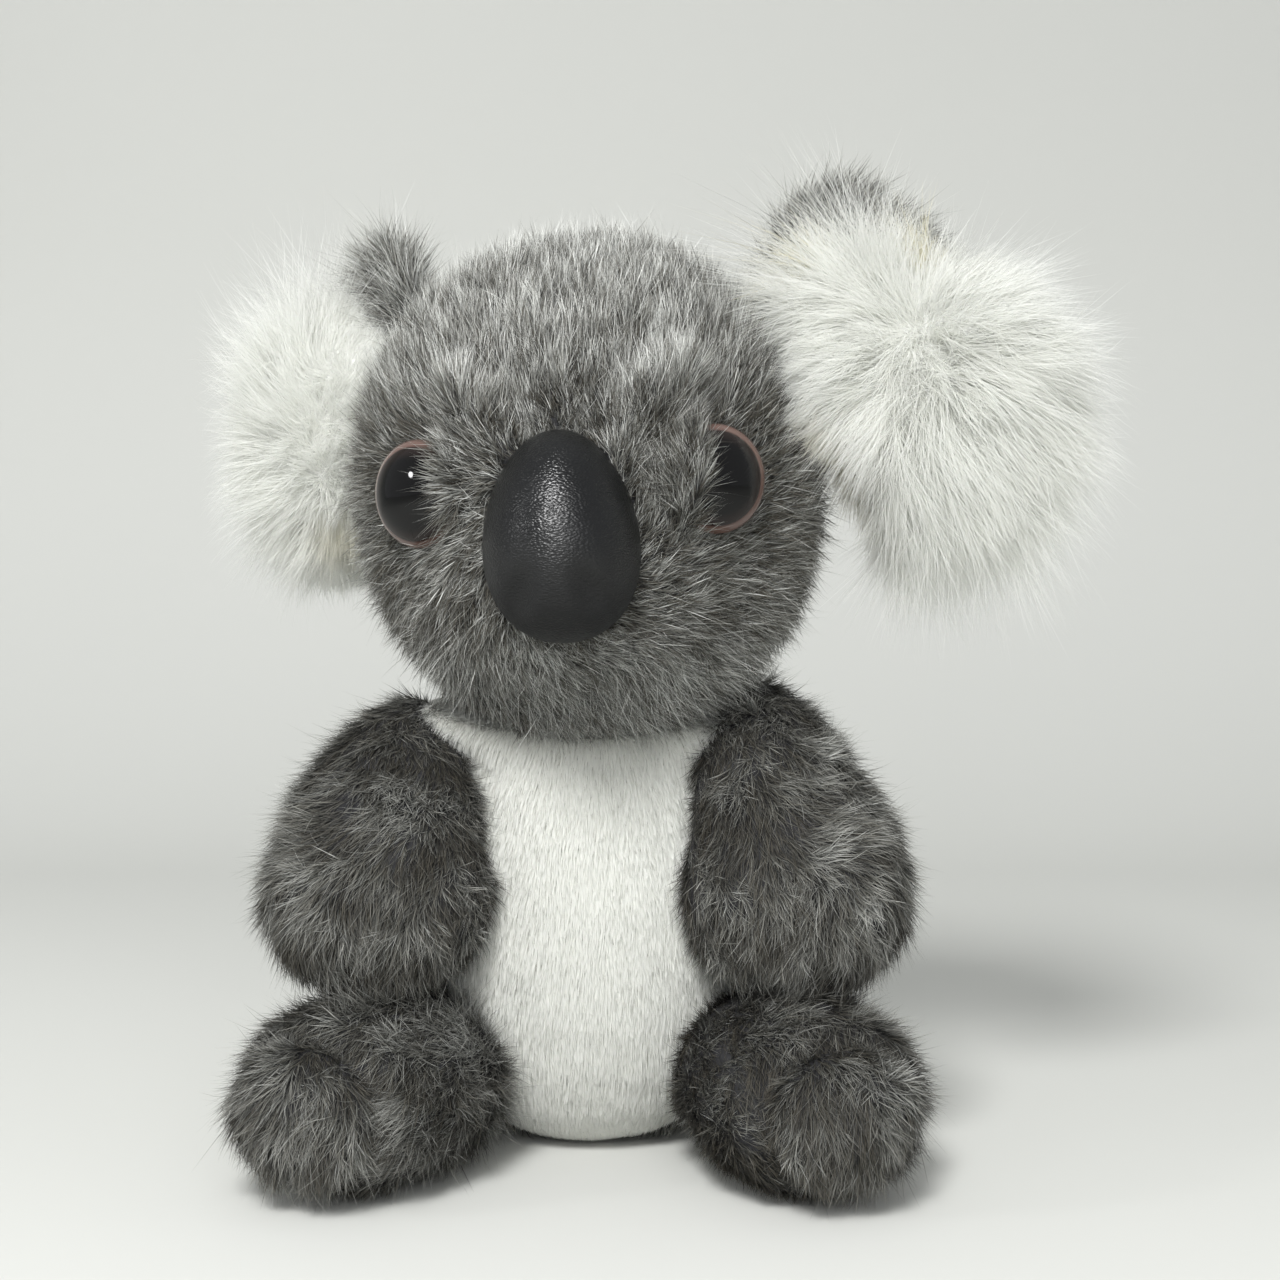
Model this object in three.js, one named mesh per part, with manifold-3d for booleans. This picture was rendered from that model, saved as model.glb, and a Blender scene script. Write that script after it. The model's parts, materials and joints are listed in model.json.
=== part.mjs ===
// A sitting plush koala with a moulded nose and domed plastic eyes.
// Millimetres, +Z up. The face looks along -Y and the origin is on the floor, at the pressed seat.
// Left and right are the animal's own: left is +X, right is -X.
import * as THREE from "three";
import { mergeVertices } from "three/addons/utils/BufferGeometryUtils.js";
import Module from "manifold-3d";

const wasm = await Module();
wasm.setup();

// Clearances
const seamGap = 0.3; // between pieces that touch
const swingGap = 0.5; // between pieces that move past each other
const seatFlat = 0.5; // how deep a stuffed form is pressed flat where it stands
const overrun = 5; // how far a cutter runs past what it cuts
const coverWall = 1.6; // backing cloth with the roots of its pile

// Torso: an egg with its narrow end up
const torso = {
  width: 66,
  depth: 58,
  height: 94,
  taperShare: 0.06,
  fullShare: 0.76,
  columns: 24,
  rows: 14,
};
const bellyEdge = 9; // the white panel covers what is this far in front of the torso's middle

// Head: nearly round, carried forward of the torso and a little turned and tilted
const head = {
  width: 80,
  depth: 76,
  height: 88,
  taperShare: -0.03,
  fullShare: 0.95,
  columns: 26,
  rows: 16,
};
const neckSunk = 18; // how far the head's underside is sewn into the top of the torso
const headHeight = torso.height - seatFlat - neckSunk + head.height / 2;
const headForward = 11;
const headTurn = 5; // degrees towards its own right
const headTilt = 2.8; // degrees, its own left side up
const neckBore = 24; // opening in the head cover through which it is stuffed
const neckSwing = 35; // degrees that the head turns each way

// Muzzle: a low swelling under the nose
const muzzle = {
  width: 52,
  depth: 40,
  height: 42,
  taperShare: 0,
  fullShare: 0.95,
  columns: 18,
  rows: 9,
};
const muzzleForward = 24; // head's middle to the muzzle's middle
const muzzleDrop = 11;

// Nose: an egg of moulded plastic, fixed by a stem and a washer
const nose = {
  width: 25.5,
  depth: 30,
  height: 34.5,
  taperShare: 0.13,
  fullShare: 0.95,
  columns: 28,
  rows: 20,
};
const noseDrop = 8; // below the middle of the head
const noseProud = 15.5; // how far it stands out of the muzzle
const noseLean = 6; // degrees that its top leans back
const nostrilWidth = 5.2;
const nostrilSpread = 11.5; // between the two nostrils
const nostrilDrop = 10.5; // below the middle of the nose
const nostrilDepth = 1.4;

// Eyes: a clear dome over a black stem, fixed by a washer
const eyeWidth = 18;
const eyeDome = 4.8; // height of the dome over its rim
const eyeBacking = 1.6; // thickness of the black disc under the dome
const eyeTurn = 36.5; // degrees that each eye lies round the head from its middle
const eyeRise = 0.4; // above the middle of the head
const eyeColumns = 28;
const domeRows = 6;

// Stems and washers hold the nose and the eyes in the cover
const stemWidth = 4;
const stemPast = 1.5; // how far a stem runs past its washer
const washerWidth = 12.5;
const washerThickness = 2;
const washerDish = 2; // how much thicker a washer's domed middle is than its rim
const roundColumns = 16; // sides of a stem or washer

// Ears: a plush back with a rolled rim, and a deep tuft of long white pile in front
const earBack = {
  width: 44,
  depth: 10,
  height: 62,
  taperShare: -0.06,
  fullShare: 0.9,
  columns: 24,
  rows: 12,
};
const earTuft = {
  width: 58,
  depth: 36,
  height: 50,
  taperShare: -0.05,
  fullShare: 0.9,
  columns: 24,
  rows: 12,
};
const earRise = 25; // the ear's seam stands this far above the head's middle
const earReach = 19; // from the seam to the middle of the ear
const earSunk = 3; // how far the seam lies inside the head's side
const tuftDrop = 15; // the tuft leaves the top rim of the back bare
const earLean = 2; // degrees that the top of an ear leans inwards
const earSwing = 18; // degrees that an ear folds each way

// Arms: pears that hang forward over the legs, narrow end at the shoulder
const arm = {
  width: 38,
  depth: 37,
  height: 56,
  taperShare: 0.5,
  fullShare: 1,
  columns: 18,
  rows: 11,
};
const shoulderInset = 0.5; // how far a shoulder pivot lies inside the torso's widest
const shoulderDrop = 21.5; // how far it lies below the torso's top
const shoulderForward = 7;
const shoulderRound = 9; // how far the narrow end runs past its pivot
const armLean = 38; // degrees that an arm hangs forward
const armSwing = 35; // degrees that an arm lifts

// Legs: pears that lie on the floor, narrow end at the hip
const leg = {
  width: 38,
  depth: 33,
  height: 68,
  taperShare: 0.14,
  fullShare: 0.86,
  columns: 18,
  rows: 11,
};
const hipForward = 7;
const hipRound = 12; // how far the narrow end runs past its pivot
const legSwing = 20; // degrees that a leg straightens downwards

// How the two sides differ, as the toy was set down: turns in degrees
const sides = [
  { name: "left", sign: 1, armSplay: 6, hipInset: 4.5, legSplay: 17, earTurn: -12 },
  { name: "right", sign: -1, armSplay: 6.5, hipInset: 7.5, legSplay: 26, earTurn: 56 },
];

// Inner walls and stuffing are coarser than what shows
const innerColumns = 14;
const innerRows = 8;
const sweepSteps = 3; // places at which a moving form is cut clear

const greyPlush = new THREE.Color(0x6b6a6c);
const whitePlush = new THREE.Color(0xe9e8e3);

// A closed egg about Z. A positive taperShare narrows its top, and a fullShare under 1 fills its ends.
function egg({ width, depth, height, taperShare, fullShare, columns, rows }) {
  const profile = [];
  let widest = 0;
  for (let i = 0; i <= rows; i++) {
    const angle = (Math.PI * i) / rows - Math.PI / 2;
    const round = Math.max(Math.cos(angle), 0) ** fullShare;
    const radius = i % rows ? round * (1 - taperShare * Math.sin(angle)) : 0;
    widest = Math.max(widest, radius);
    profile.push(new THREE.Vector2(radius, Math.sin(angle)));
  }
  const shape = new THREE.LatheGeometry(profile, columns);
  shape.rotateX(Math.PI / 2);
  shape.scale(width / 2 / widest, depth / 2 / widest, height / 2);
  return shape;
}

// The sizes of the same form, larger all over, or smaller where `by` is negative
function grown(form, by) {
  return { ...form, width: form.width + 2 * by, depth: form.depth + 2 * by, height: form.height + 2 * by };
}

// The same form, smaller and with the coarse mesh of what is inside
function inner(form, by) {
  return { ...grown(form, -by), columns: innerColumns, rows: innerRows };
}

// A solid for cutting and joining, from a closed three.js geometry
function solidOf(geometry) {
  const bare = geometry.clone();
  bare.deleteAttribute("normal");
  bare.deleteAttribute("uv");
  const merged = mergeVertices(bare);
  const vertProperties = new Float32Array(merged.attributes.position.array);
  const triVerts = new Uint32Array(merged.index.array);
  return new wasm.Manifold(new wasm.Mesh({ numProp: 3, vertProperties, triVerts }));
}

function geometryOf(solid) {
  const { vertProperties, triVerts } = solid.getMesh();
  const geometry = new THREE.BufferGeometry();
  geometry.setAttribute("position", new THREE.BufferAttribute(vertProperties, 3));
  geometry.setIndex(new THREE.BufferAttribute(triVerts, 1));
  geometry.computeVertexNormals();
  return geometry;
}

const radians = THREE.MathUtils.degToRad;

function eggSolid(form) {
  return solidOf(egg(form));
}

// A round bar along Z, from `low` to `high`
function bar(width, low, high, columns = roundColumns) {
  const shape = new THREE.CylinderGeometry(width / 2, width / 2, high - low, columns);
  shape.rotateX(Math.PI / 2);
  shape.translate(0, 0, (low + high) / 2);
  return solidOf(shape);
}

// The box below a height, wide enough for the whole toy
function below(height) {
  const reach = headHeight + head.height;
  const shape = new THREE.BoxGeometry(2 * reach, 2 * reach, reach);
  shape.translate(0, 0, height - reach / 2);
  return solidOf(shape);
}

// The box in front of a plane that faces -Y
function inFrontOf(plane) {
  const reach = headHeight + head.height;
  const shape = new THREE.BoxGeometry(2 * reach, reach, 2 * reach);
  shape.translate(0, plane - reach / 2, 0);
  return solidOf(shape);
}

// Moves a solid from one group's frame into another's
function carry(solid, from, to) {
  from.updateWorldMatrix(true, false);
  to.updateWorldMatrix(true, false);
  const move = to.matrixWorld.clone().invert().multiply(from.matrixWorld);
  return solid.transform(move.elements);
}

function posed(solid, { at = [0, 0, 0], turn = [0, 0, 0] }) {
  return solid.rotate(turn).translate(at);
}

// What is left of a form that swings about its own X or Z axis once a neighbour is cut out of it
function clearOf(form, neighbour, axis, low, high) {
  let left = form;
  for (let step = 0; step <= sweepSteps; step++) {
    const angle = low + ((high - low) * step) / sweepSteps;
    left = left.subtract(neighbour.rotate(axis.map((part) => -part * angle)));
  }
  return left;
}

function addMesh(group, name, solid, look) {
  const mesh = new THREE.Mesh(geometryOf(solid), new THREE.MeshStandardMaterial(look));
  mesh.name = name;
  group.add(mesh);
}

const plush = (color) => ({ color, roughness: 0.95, metalness: 0 });
const filling = { color: 0xf4f2ec, roughness: 1, metalness: 0 };
const blackPlastic = { color: 0x141416, roughness: 0.5, metalness: 0 };
const clearPlastic = { color: 0x3a2a20, roughness: 0.05, metalness: 0 };
const washerPlastic = { color: 0xe6e6e2, roughness: 0.5, metalness: 0 };

// The tree of frames: each joint's group has its origin at the joint
const koala = new THREE.Group();

const headGroup = new THREE.Group();
headGroup.position.set(0, -headForward, headHeight);
headGroup.rotation.set(0, radians(-headTilt), radians(-headTurn), "ZYX");
koala.add(headGroup);

// Torso
const torsoAt = [0, 0, torso.height / 2 - seatFlat];

function torsoForm(by, coarse = false) {
  return posed(eggSolid(coarse ? inner(torso, -by) : grown(torso, by)), { at: torsoAt });
}

// All the space that the head takes as it turns about its own middle
const headSweep = (by) => {
  const widest = Math.max(head.width, head.depth);
  const solid = eggSolid(grown({ ...head, width: widest, depth: widest }, by));
  return posed(solid, { at: [0, -headForward, headHeight] });
};

const torsoCover = torsoForm(0)
  .subtract(torsoForm(-coverWall, true))
  .subtract(below(0))
  .subtract(headSweep(swingGap));
const torsoFilling = torsoForm(-coverWall - seamGap, true)
  .subtract(below(coverWall + seamGap))
  .subtract(headSweep(swingGap));
addMesh(koala, "torso_back", torsoCover.subtract(inFrontOf(seamGap - bellyEdge)), plush(greyPlush));
addMesh(koala, "torso_belly", torsoCover.intersect(inFrontOf(-bellyEdge)), plush(whitePlush));
addMesh(koala, "torso_filling", torsoFilling, filling);

// Head: its cover, its filling and the holes for the stems are all made in the head's own frame
const muzzleAt = [0, -muzzleForward, -muzzleDrop];

function headForm(by, coarse = false) {
  const sized = (form) => (coarse ? inner(form, -by) : grown(form, by));
  return eggSolid(sized(head)).add(posed(eggSolid(sized(muzzle)), { at: muzzleAt }));
}

const headSkin = headForm(0);
const headSeat = headForm(seamGap);
const headHollow = headForm(-coverWall - seamGap, true);

// How far a skin lies in front of the head's middle, at a place across and up
function skinDepth(skin, across, up) {
  const probe = new THREE.BoxGeometry(stemWidth, head.depth * 2, stemWidth);
  probe.translate(across, -head.depth, up);
  return -skin.intersect(solidOf(probe)).boundingBox().min[1];
}

// A part with a stem: made about Z with the skin at zero, then laid on the skin
function fixing(at, turn) {
  const place = (solid) => posed(solid, { at, turn });
  const washerTop = -coverWall - seamGap;
  const washerFoot = washerTop - washerDish - washerThickness;
  const hole = stemWidth + 2 * seamGap;
  const ring = bar(washerWidth, washerFoot, washerTop + seamGap).subtract(
    bar(hole, washerFoot - overrun, overrun),
  );
  return {
    place,
    stem: place(bar(stemWidth, washerFoot - stemPast, eyeBacking / 2)),
    hole: place(bar(hole, -coverWall - overrun, overrun)),
    washer: place(ring).intersect(headHollow),
    pocket: place(bar(washerWidth + 2 * seamGap, washerFoot - stemPast - seamGap, overrun)),
  };
}

// Nose
const noseDepth = skinDepth(headSkin, 0, -noseDrop);
const noseFixing = fixing([0, -noseDepth, -noseDrop], [90, 0, 0]);
const noseAt = [0, nose.depth / 2 - noseDepth - noseProud, -noseDrop];
const nostrilForm = {
  width: nostrilWidth,
  depth: 2 * nostrilDepth,
  height: nostrilWidth * 1.25,
  taperShare: 0,
  fullShare: 1,
  columns: 12,
  rows: 8,
};

// The nose's own surface, in front of its middle, at a nostril
function noseDepthAt(solid, across, up) {
  const probe = new THREE.BoxGeometry(nostrilWidth / 4, nose.depth * 2, nostrilWidth / 4);
  probe.translate(across, -nose.depth, up);
  return -solid.intersect(solidOf(probe)).boundingBox().min[1];
}

function makeNose() {
  let body = eggSolid(nose);
  const across = nostrilSpread / 2;
  const depth = noseDepthAt(body, across, -nostrilDrop);
  for (const sign of [1, -1]) {
    const dent = posed(eggSolid(nostrilForm), {
      at: [sign * across, -depth, -nostrilDrop],
      turn: [0, sign * 25, -sign * 20],
    });
    body = body.subtract(dent);
  }
  const leaning = posed(body, { at: noseAt, turn: [-noseLean, 0, 0] });
  return leaning.subtract(headSeat).add(noseFixing.stem);
}

// Eyes: laid on the skin where a line across the head meets it, each facing straight out of it
function eyeFixing(sign) {
  const across = (head.width / 2) * Math.sin(radians(eyeTurn));
  const depth = skinDepth(eggSolid(head), across, eyeRise);
  const slope = (across / (head.width / 2) ** 2) / (depth / (head.depth / 2) ** 2);
  const outwards = THREE.MathUtils.radToDeg(Math.atan(slope));
  return fixing([sign * across, -depth, eyeRise], [90, 0, sign * outwards]);
}

function makeEye(sign) {
  const fixed = eyeFixing(sign);
  const disc = fixed.place(bar(eyeWidth, -eyeBacking, eyeBacking, eyeColumns));
  const profile = [];
  for (let i = 0; i <= domeRows; i++) {
    const angle = (Math.PI / 2 / domeRows) * i;
    profile.push(new THREE.Vector2((eyeWidth / 2) * Math.cos(angle), eyeDome * Math.sin(angle)));
  }
  profile[domeRows].x = 0;
  const shape = new THREE.LatheGeometry([new THREE.Vector2(0, 0), ...profile], eyeColumns);
  shape.rotateX(Math.PI / 2);
  shape.translate(0, 0, eyeBacking + seamGap);
  return {
    fixed,
    stem: disc.subtract(headSeat).add(fixed.stem),
    dome: fixed.place(solidOf(shape)).subtract(headSeat),
  };
}

const eyes = sides.map(({ name, sign }) => ({ name, ...makeEye(sign) }));
const noseBody = makeNose();
const fixings = [noseFixing, ...eyes.map((eye) => eye.fixed)];
let headCover = headSkin
  .subtract(headForm(-coverWall, true))
  .subtract(bar(neckBore, -head.height, -head.height / 4));
let headFilling = headForm(-coverWall - seamGap, true);
for (const { hole, pocket } of fixings) {
  headCover = headCover.subtract(hole);
  headFilling = headFilling.subtract(pocket);
}

addMesh(headGroup, "head_cover", headCover, plush(greyPlush));
addMesh(headGroup, "head_filling", headFilling, filling);
addMesh(headGroup, "nose", noseBody, blackPlastic);
addMesh(headGroup, "nose_washer", noseFixing.washer, washerPlastic);
for (const { name, fixed, stem, dome } of eyes) {
  addMesh(headGroup, `eye_${name}_dome`, dome, clearPlastic);
  addMesh(headGroup, `eye_${name}_stem`, stem, blackPlastic);
  addMesh(headGroup, `eye_${name}_washer`, fixed.washer, washerPlastic);
}

// Ears: each group's Z axis is the seam, and the ear reaches outwards from it
for (const { name, sign, earTurn } of sides) {
  const rise = earRise / (head.height / 2);
  const seamAt = (head.width / 2) * Math.sqrt(1 - rise ** 2) - earSunk;
  const ear = new THREE.Group();
  ear.position.set(sign * seamAt, 0, earRise);
  ear.rotation.set(0, radians(-sign * earLean), radians(sign * earTurn), "ZYX");
  headGroup.add(ear);
  const skull = carry(headForm(seamGap), headGroup, ear);
  const trimmed = (solid) => clearOf(solid, skull, [0, 0, 1], -earSwing, earSwing);
  const backForm = posed(eggSolid(earBack), { at: [sign * earReach, 0, 0] });
  const tuftAt = [sign * (earReach + (earTuft.width - earBack.width) / 2), 0, -tuftDrop];
  const tuftForm = posed(eggSolid(earTuft), { at: tuftAt });
  const backBody = backForm.subtract(inFrontOf(seamGap / 2));
  const tuftBody = tuftForm.intersect(inFrontOf(-seamGap / 2));
  addMesh(ear, `ear_${name}_back`, trimmed(backBody), plush(greyPlush));
  addMesh(ear, `ear_${name}_tuft`, trimmed(tuftBody), plush(whitePlush));
}

// Limbs: a cover that is open where it is sewn to the torso, and its filling
function addLimb(group, name, form, place, clear) {
  const shape = (sizes) => clear(posed(eggSolid(sizes), place));
  const cover = shape(form).subtract(posed(eggSolid(inner(form, coverWall)), place));
  addMesh(group, `${name}_cover`, cover, plush(greyPlush));
  addMesh(group, `${name}_filling`, shape(inner(form, coverWall + seamGap)), filling);
}

const legHeight = leg.depth / 2 - seatFlat;
for (const { name, sign, armSplay, hipInset, legSplay } of sides) {
  const hip = new THREE.Group();
  hip.position.set(sign * (torso.width / 2 - hipInset), -hipForward, legHeight);
  koala.add(hip);
  const thigh = leg.height / 2 - hipRound;
  const away = radians(legSplay);
  const legPlace = {
    at: [sign * thigh * Math.sin(away), -thigh * Math.cos(away), 0],
    turn: [-90, 0, sign * legSplay],
  };
  const floorAtHip = carry(below(0), koala, hip);
  const seat = carry(torsoForm(swingGap), koala, hip);
  const clearLeg = (solid) => clearOf(solid, seat, [1, 0, 0], 0, legSwing).subtract(floorAtHip);
  addLimb(hip, `leg_${name}`, leg, legPlace, clearLeg);

  const shoulder = new THREE.Group();
  shoulder.position.set(sign * (torso.width / 2 - shoulderInset), -shoulderForward, torso.height - shoulderDrop);
  koala.add(shoulder);
  const reach = arm.height / 2 - shoulderRound;
  const lean = radians(armLean);
  const splay = radians(armSplay);
  const armPlace = {
    at: [
      sign * reach * Math.sin(splay),
      -reach * Math.sin(lean) * Math.cos(splay),
      -reach * Math.cos(lean) * Math.cos(splay),
    ],
    turn: [-armLean, sign * -armSplay, 0],
  };
  const chest = carry(torsoForm(swingGap), koala, shoulder);
  const knee = carry(posed(eggSolid(grown(leg, swingGap)), legPlace), hip, shoulder);
  const clearArm = (solid) => clearOf(solid, chest, [-1, 0, 0], 0, armSwing).subtract(knee);
  addLimb(shoulder, `arm_${name}`, arm, armPlace, clearArm);
}

export default koala;
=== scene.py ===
"""A seated plush koala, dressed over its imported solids.

Metres, +Z up, the face along -Y, the animal's own left along +X, as in the frame.
"""

import json
import logging
import math
from collections.abc import Sequence
from dataclasses import dataclass, field, fields, replace
from enum import Enum

import bmesh
import bpy
import numpy as np
from mathutils import Matrix, Vector
from mathutils.bvhtree import BVHTree


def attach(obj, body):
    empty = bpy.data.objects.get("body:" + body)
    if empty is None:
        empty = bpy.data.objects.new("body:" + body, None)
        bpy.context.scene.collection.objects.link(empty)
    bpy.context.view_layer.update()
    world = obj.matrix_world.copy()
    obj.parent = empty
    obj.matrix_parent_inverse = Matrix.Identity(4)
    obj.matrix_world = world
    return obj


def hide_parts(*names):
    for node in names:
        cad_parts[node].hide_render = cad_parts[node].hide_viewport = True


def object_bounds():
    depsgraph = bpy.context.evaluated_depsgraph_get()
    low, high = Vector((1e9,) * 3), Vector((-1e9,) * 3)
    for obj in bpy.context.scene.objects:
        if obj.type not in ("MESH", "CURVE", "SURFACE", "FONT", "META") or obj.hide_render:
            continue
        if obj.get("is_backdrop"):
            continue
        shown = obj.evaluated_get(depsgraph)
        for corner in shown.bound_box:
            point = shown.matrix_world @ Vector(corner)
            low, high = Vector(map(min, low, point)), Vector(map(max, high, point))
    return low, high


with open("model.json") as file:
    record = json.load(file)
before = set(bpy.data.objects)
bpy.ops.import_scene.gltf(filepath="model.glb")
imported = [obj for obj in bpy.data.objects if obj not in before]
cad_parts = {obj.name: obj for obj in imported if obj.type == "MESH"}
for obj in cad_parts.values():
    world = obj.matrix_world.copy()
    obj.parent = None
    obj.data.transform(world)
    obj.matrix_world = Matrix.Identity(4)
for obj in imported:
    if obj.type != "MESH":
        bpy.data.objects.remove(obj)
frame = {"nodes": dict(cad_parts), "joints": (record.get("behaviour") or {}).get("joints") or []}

log = logging.getLogger("koala")

MM = 0.001
UP = np.array([0.0, 0.0, 1.0])
FLOOR_EDGE = (0.3 * MM, 1.5 * MM)  # heights between which pile starts to grow over the floor
SEWN_REACH = 1.2 * MM  # how near the head and the torso are where both stay bare
REST_REACH = 1.0 * MM  # how near the limbs, the torso and an ear's halves are there
EAR_REACH = 1.5 * MM  # how near an ear and the head are there
STRAND_MAP = "OFBake"  # across the map runs a strand's tone, up it runs root to tip

Numbers = np.ndarray
Colour = tuple[float, float, float]


class Side(Enum):
    """The animal's own sides, with the sign of X on each."""

    LEFT = 1
    RIGHT = -1

    @property
    def label(self) -> str:
        """The word that piece names use."""
        return self.name.lower()


class Wire:
    """A socket with arithmetic: each operator adds a Math or a Vector Math node to its tree."""

    def __init__(self, tree: "Tree", socket: bpy.types.NodeSocket) -> None:
        """Wraps an output socket of a tree."""
        self.tree = tree
        self.socket = socket

    @property
    def is_vector(self) -> bool:
        """Whether the socket carries three numbers."""
        return self.socket.type in {"VECTOR", "RGBA"}

    def _join(self, operation: str, other: "Wire | float", swapped: bool = False) -> "Wire":
        """Adds the node for one operator.

        Args:
            operation: the Math operation's name.
            other: the second operand.
            swapped: whether the other operand comes first.

        Returns:
            The result's wire.
        """
        pair = (other, self) if swapped else (self, other)
        arrows = [isinstance(item, Wire) and item.is_vector for item in pair]
        if not any(arrows):
            return self.tree.math(operation, *pair)
        if operation == "MULTIPLY" and not all(arrows):
            return self.tree.arrow("SCALE", *(pair if arrows[0] else pair[::-1]))
        return self.tree.arrow(operation, *(item if isinstance(item, Wire) else (item,) * 3 for item in pair))

    def __add__(self, other: "Wire | float") -> "Wire":
        """Sum."""
        return self._join("ADD", other)

    def __sub__(self, other: "Wire | float") -> "Wire":
        """Difference."""
        return self._join("SUBTRACT", other)

    def __rsub__(self, other: "Wire | float") -> "Wire":
        """Difference from a number."""
        return self._join("SUBTRACT", other, swapped=True)

    def __mul__(self, other: "Wire | float") -> "Wire":
        """Product, or a vector scaled by a number."""
        return self._join("MULTIPLY", other)

    def __pow__(self, other: "Wire | float") -> "Wire":
        """Power."""
        return self._join("POWER", other)


class Tree:
    """A node tree with one method that adds any node."""

    def __init__(self, tree: bpy.types.NodeTree) -> None:
        """Wraps a tree and empties it."""
        self.tree = tree
        tree.nodes.clear()

    def add(self, kind: str, settings: dict | None = None, values: dict | None = None) -> bpy.types.Node:
        """Adds one node.

        Args:
            kind: the node's type.
            settings: its properties, and under "stops" a ramp's places and colours.
            values: its inputs by name or number, each a number, a colour or a wire.

        Returns:
            The node.
        """
        node = self.tree.nodes.new(kind)
        for name, value in (settings or {}).items():
            if name == "stops":
                self._set_stops(node.color_ramp, value)
            else:
                setattr(node, name, value)
        for key, value in (values or {}).items():
            socket = self._pick(node.inputs, key)
            if isinstance(value, Wire):
                self.tree.links.new(value.socket, socket)
            else:
                solid = socket.type == "RGBA" and len(value) == 3
                socket.default_value = (*value, 1.0) if solid else value
        return node

    def out(self, node: bpy.types.Node, name: str | int = 0) -> Wire:
        """The wire of a node's output, by name or number."""
        return Wire(self, self._pick(node.outputs, name))

    def wire(
        self, kind: str, settings: dict | None = None, values: dict | None = None, name: str | int = 0
    ) -> Wire:
        """Adds one node and gives one of its outputs, by name or number."""
        return self.out(self.add(kind, settings, values), name)

    def math(self, operation: str, *operands: "Wire | float") -> Wire:
        """Adds a Math node and gives its result."""
        return self.wire("ShaderNodeMath", {"operation": operation}, dict(enumerate(operands)))

    def arrow(self, operation: str, *operands: "Wire | float | Sequence[float]") -> Wire:
        """Adds a Vector Math node and gives its result."""
        return self.wire("ShaderNodeVectorMath", {"operation": operation}, dict(enumerate(operands)))

    def part(self, vector: Wire, axis: str) -> Wire:
        """One number of a vector, by the name of its axis."""
        return self.wire("ShaderNodeSeparateXYZ", None, {0: vector}, axis)

    def vector(self, **parts: "Wire | float") -> Wire:
        """A vector of the numbers along its named axes, which are 0 along the others."""
        return self.wire("ShaderNodeCombineXYZ", None, parts)

    def here(self) -> Wire:
        """A piece's own place in space."""
        return self.wire("ShaderNodeTexCoord", name="Object")

    def on_map(self) -> Wire:
        """The place on a piece's own map."""
        return self.wire("ShaderNodeUVMap", {"uv_map": STRAND_MAP})

    def cloud(self, place: Wire, scale: float, detail: float) -> Wire:
        """Soft noise in space."""
        return self.wire("ShaderNodeTexNoise", None, {"Vector": place, "Scale": scale, "Detail": detail})

    def bump(self, height: Wire, depth: float, strength: float) -> Wire:
        """A normal that follows a height, whose depth is in metres."""
        return self.wire("ShaderNodeBump", None, {"Strength": strength, "Distance": depth, "Height": height})

    def ramp(self, factor: Wire, stops: Sequence[tuple[float, Sequence[float]]]) -> Wire:
        """A colour that follows a number through stops."""
        return self.wire("ShaderNodeValToRGB", {"stops": stops}, {"Fac": factor})

    def blend(self, factor: Wire, low: "Wire | Sequence[float]", high: "Wire | Sequence[float]") -> Wire:
        """A colour between two, by a factor."""
        return self.wire("ShaderNodeMix", {"data_type": "RGBA"}, {0: factor, 1: low, 2: high})

    def between(self, value: Wire, low: float, high: float) -> Wire:
        """Zero under one number, one over another, smooth in between."""
        settings = {"interpolation_type": "SMOOTHSTEP"}
        return self.wire("ShaderNodeMapRange", settings, {0: value, 1: low, 2: high})

    @staticmethod
    def _pick(sockets: bpy.types.bpy_prop_collection, key: str | int) -> bpy.types.NodeSocket:
        """The socket of that name or number among those in use."""
        used = [socket for socket in sockets if socket.enabled]
        return used[key] if isinstance(key, int) else next(socket for socket in used if socket.name == key)

    @staticmethod
    def _set_stops(ramp: bpy.types.ColorRamp, stops: Sequence[tuple[float, Sequence[float]]]) -> None:
        """Gives a ramp its stops."""
        for _ in range(len(stops) - 2):
            ramp.elements.new(0.5)
        for element, (place, colour) in zip(ramp.elements, stops):
            element.position = place
            element.color = (*colour, 1.0)


def unit(vectors: Numbers) -> Numbers:
    """Vectors of length one along the rows."""
    return vectors / np.maximum(np.linalg.norm(vectors, axis=-1, keepdims=True), 1e-9)


def along(vectors: Numbers, normals: Numbers) -> Numbers:
    """The part of each vector that lies in its surface, of length one."""
    vectors = np.broadcast_to(vectors, normals.shape)
    return unit(vectors - (vectors * normals).sum(axis=1, keepdims=True) * normals)


def aside(vectors: Numbers, axis: Numbers) -> Numbers:
    """The part of each vector that is square to one axis."""
    return vectors - (vectors @ axis)[:, None] * axis


def rise(values: Numbers, low: float, high: float) -> Numbers:
    """Zero under one number, one over another, smooth in between."""
    share = np.clip((values - low) / (high - low), 0.0, 1.0)
    return share * share * (3 - 2 * share)


def flattest(points: Numbers) -> Numbers:
    """The direction in which a cloud of points is thinnest."""
    centred = points - points.mean(0)
    return np.linalg.eigh(centred.T @ centred)[1][:, 0]


def hill(values: Numbers, middle: float, width: float) -> Numbers:
    """One at a place, and less the further from it."""
    return np.exp(-(((values - middle) / width) ** 2))


def joint_place(name: str) -> Numbers:
    """Where a joint of the frame lies, in metres."""
    return np.array(next(joint["pos_m"] for joint in frame["joints"] if joint["name"] == name))


def node_points(names: Sequence[str]) -> Numbers:
    """The corners of CAD nodes, in metres."""
    rows = []
    for name in names:
        mesh = frame["nodes"][name].data
        points = np.zeros(len(mesh.vertices) * 3, np.float32)
        mesh.vertices.foreach_get("co", points)
        rows.append(points.reshape(-1, 3).astype(float))
    return np.concatenate(rows)


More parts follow.
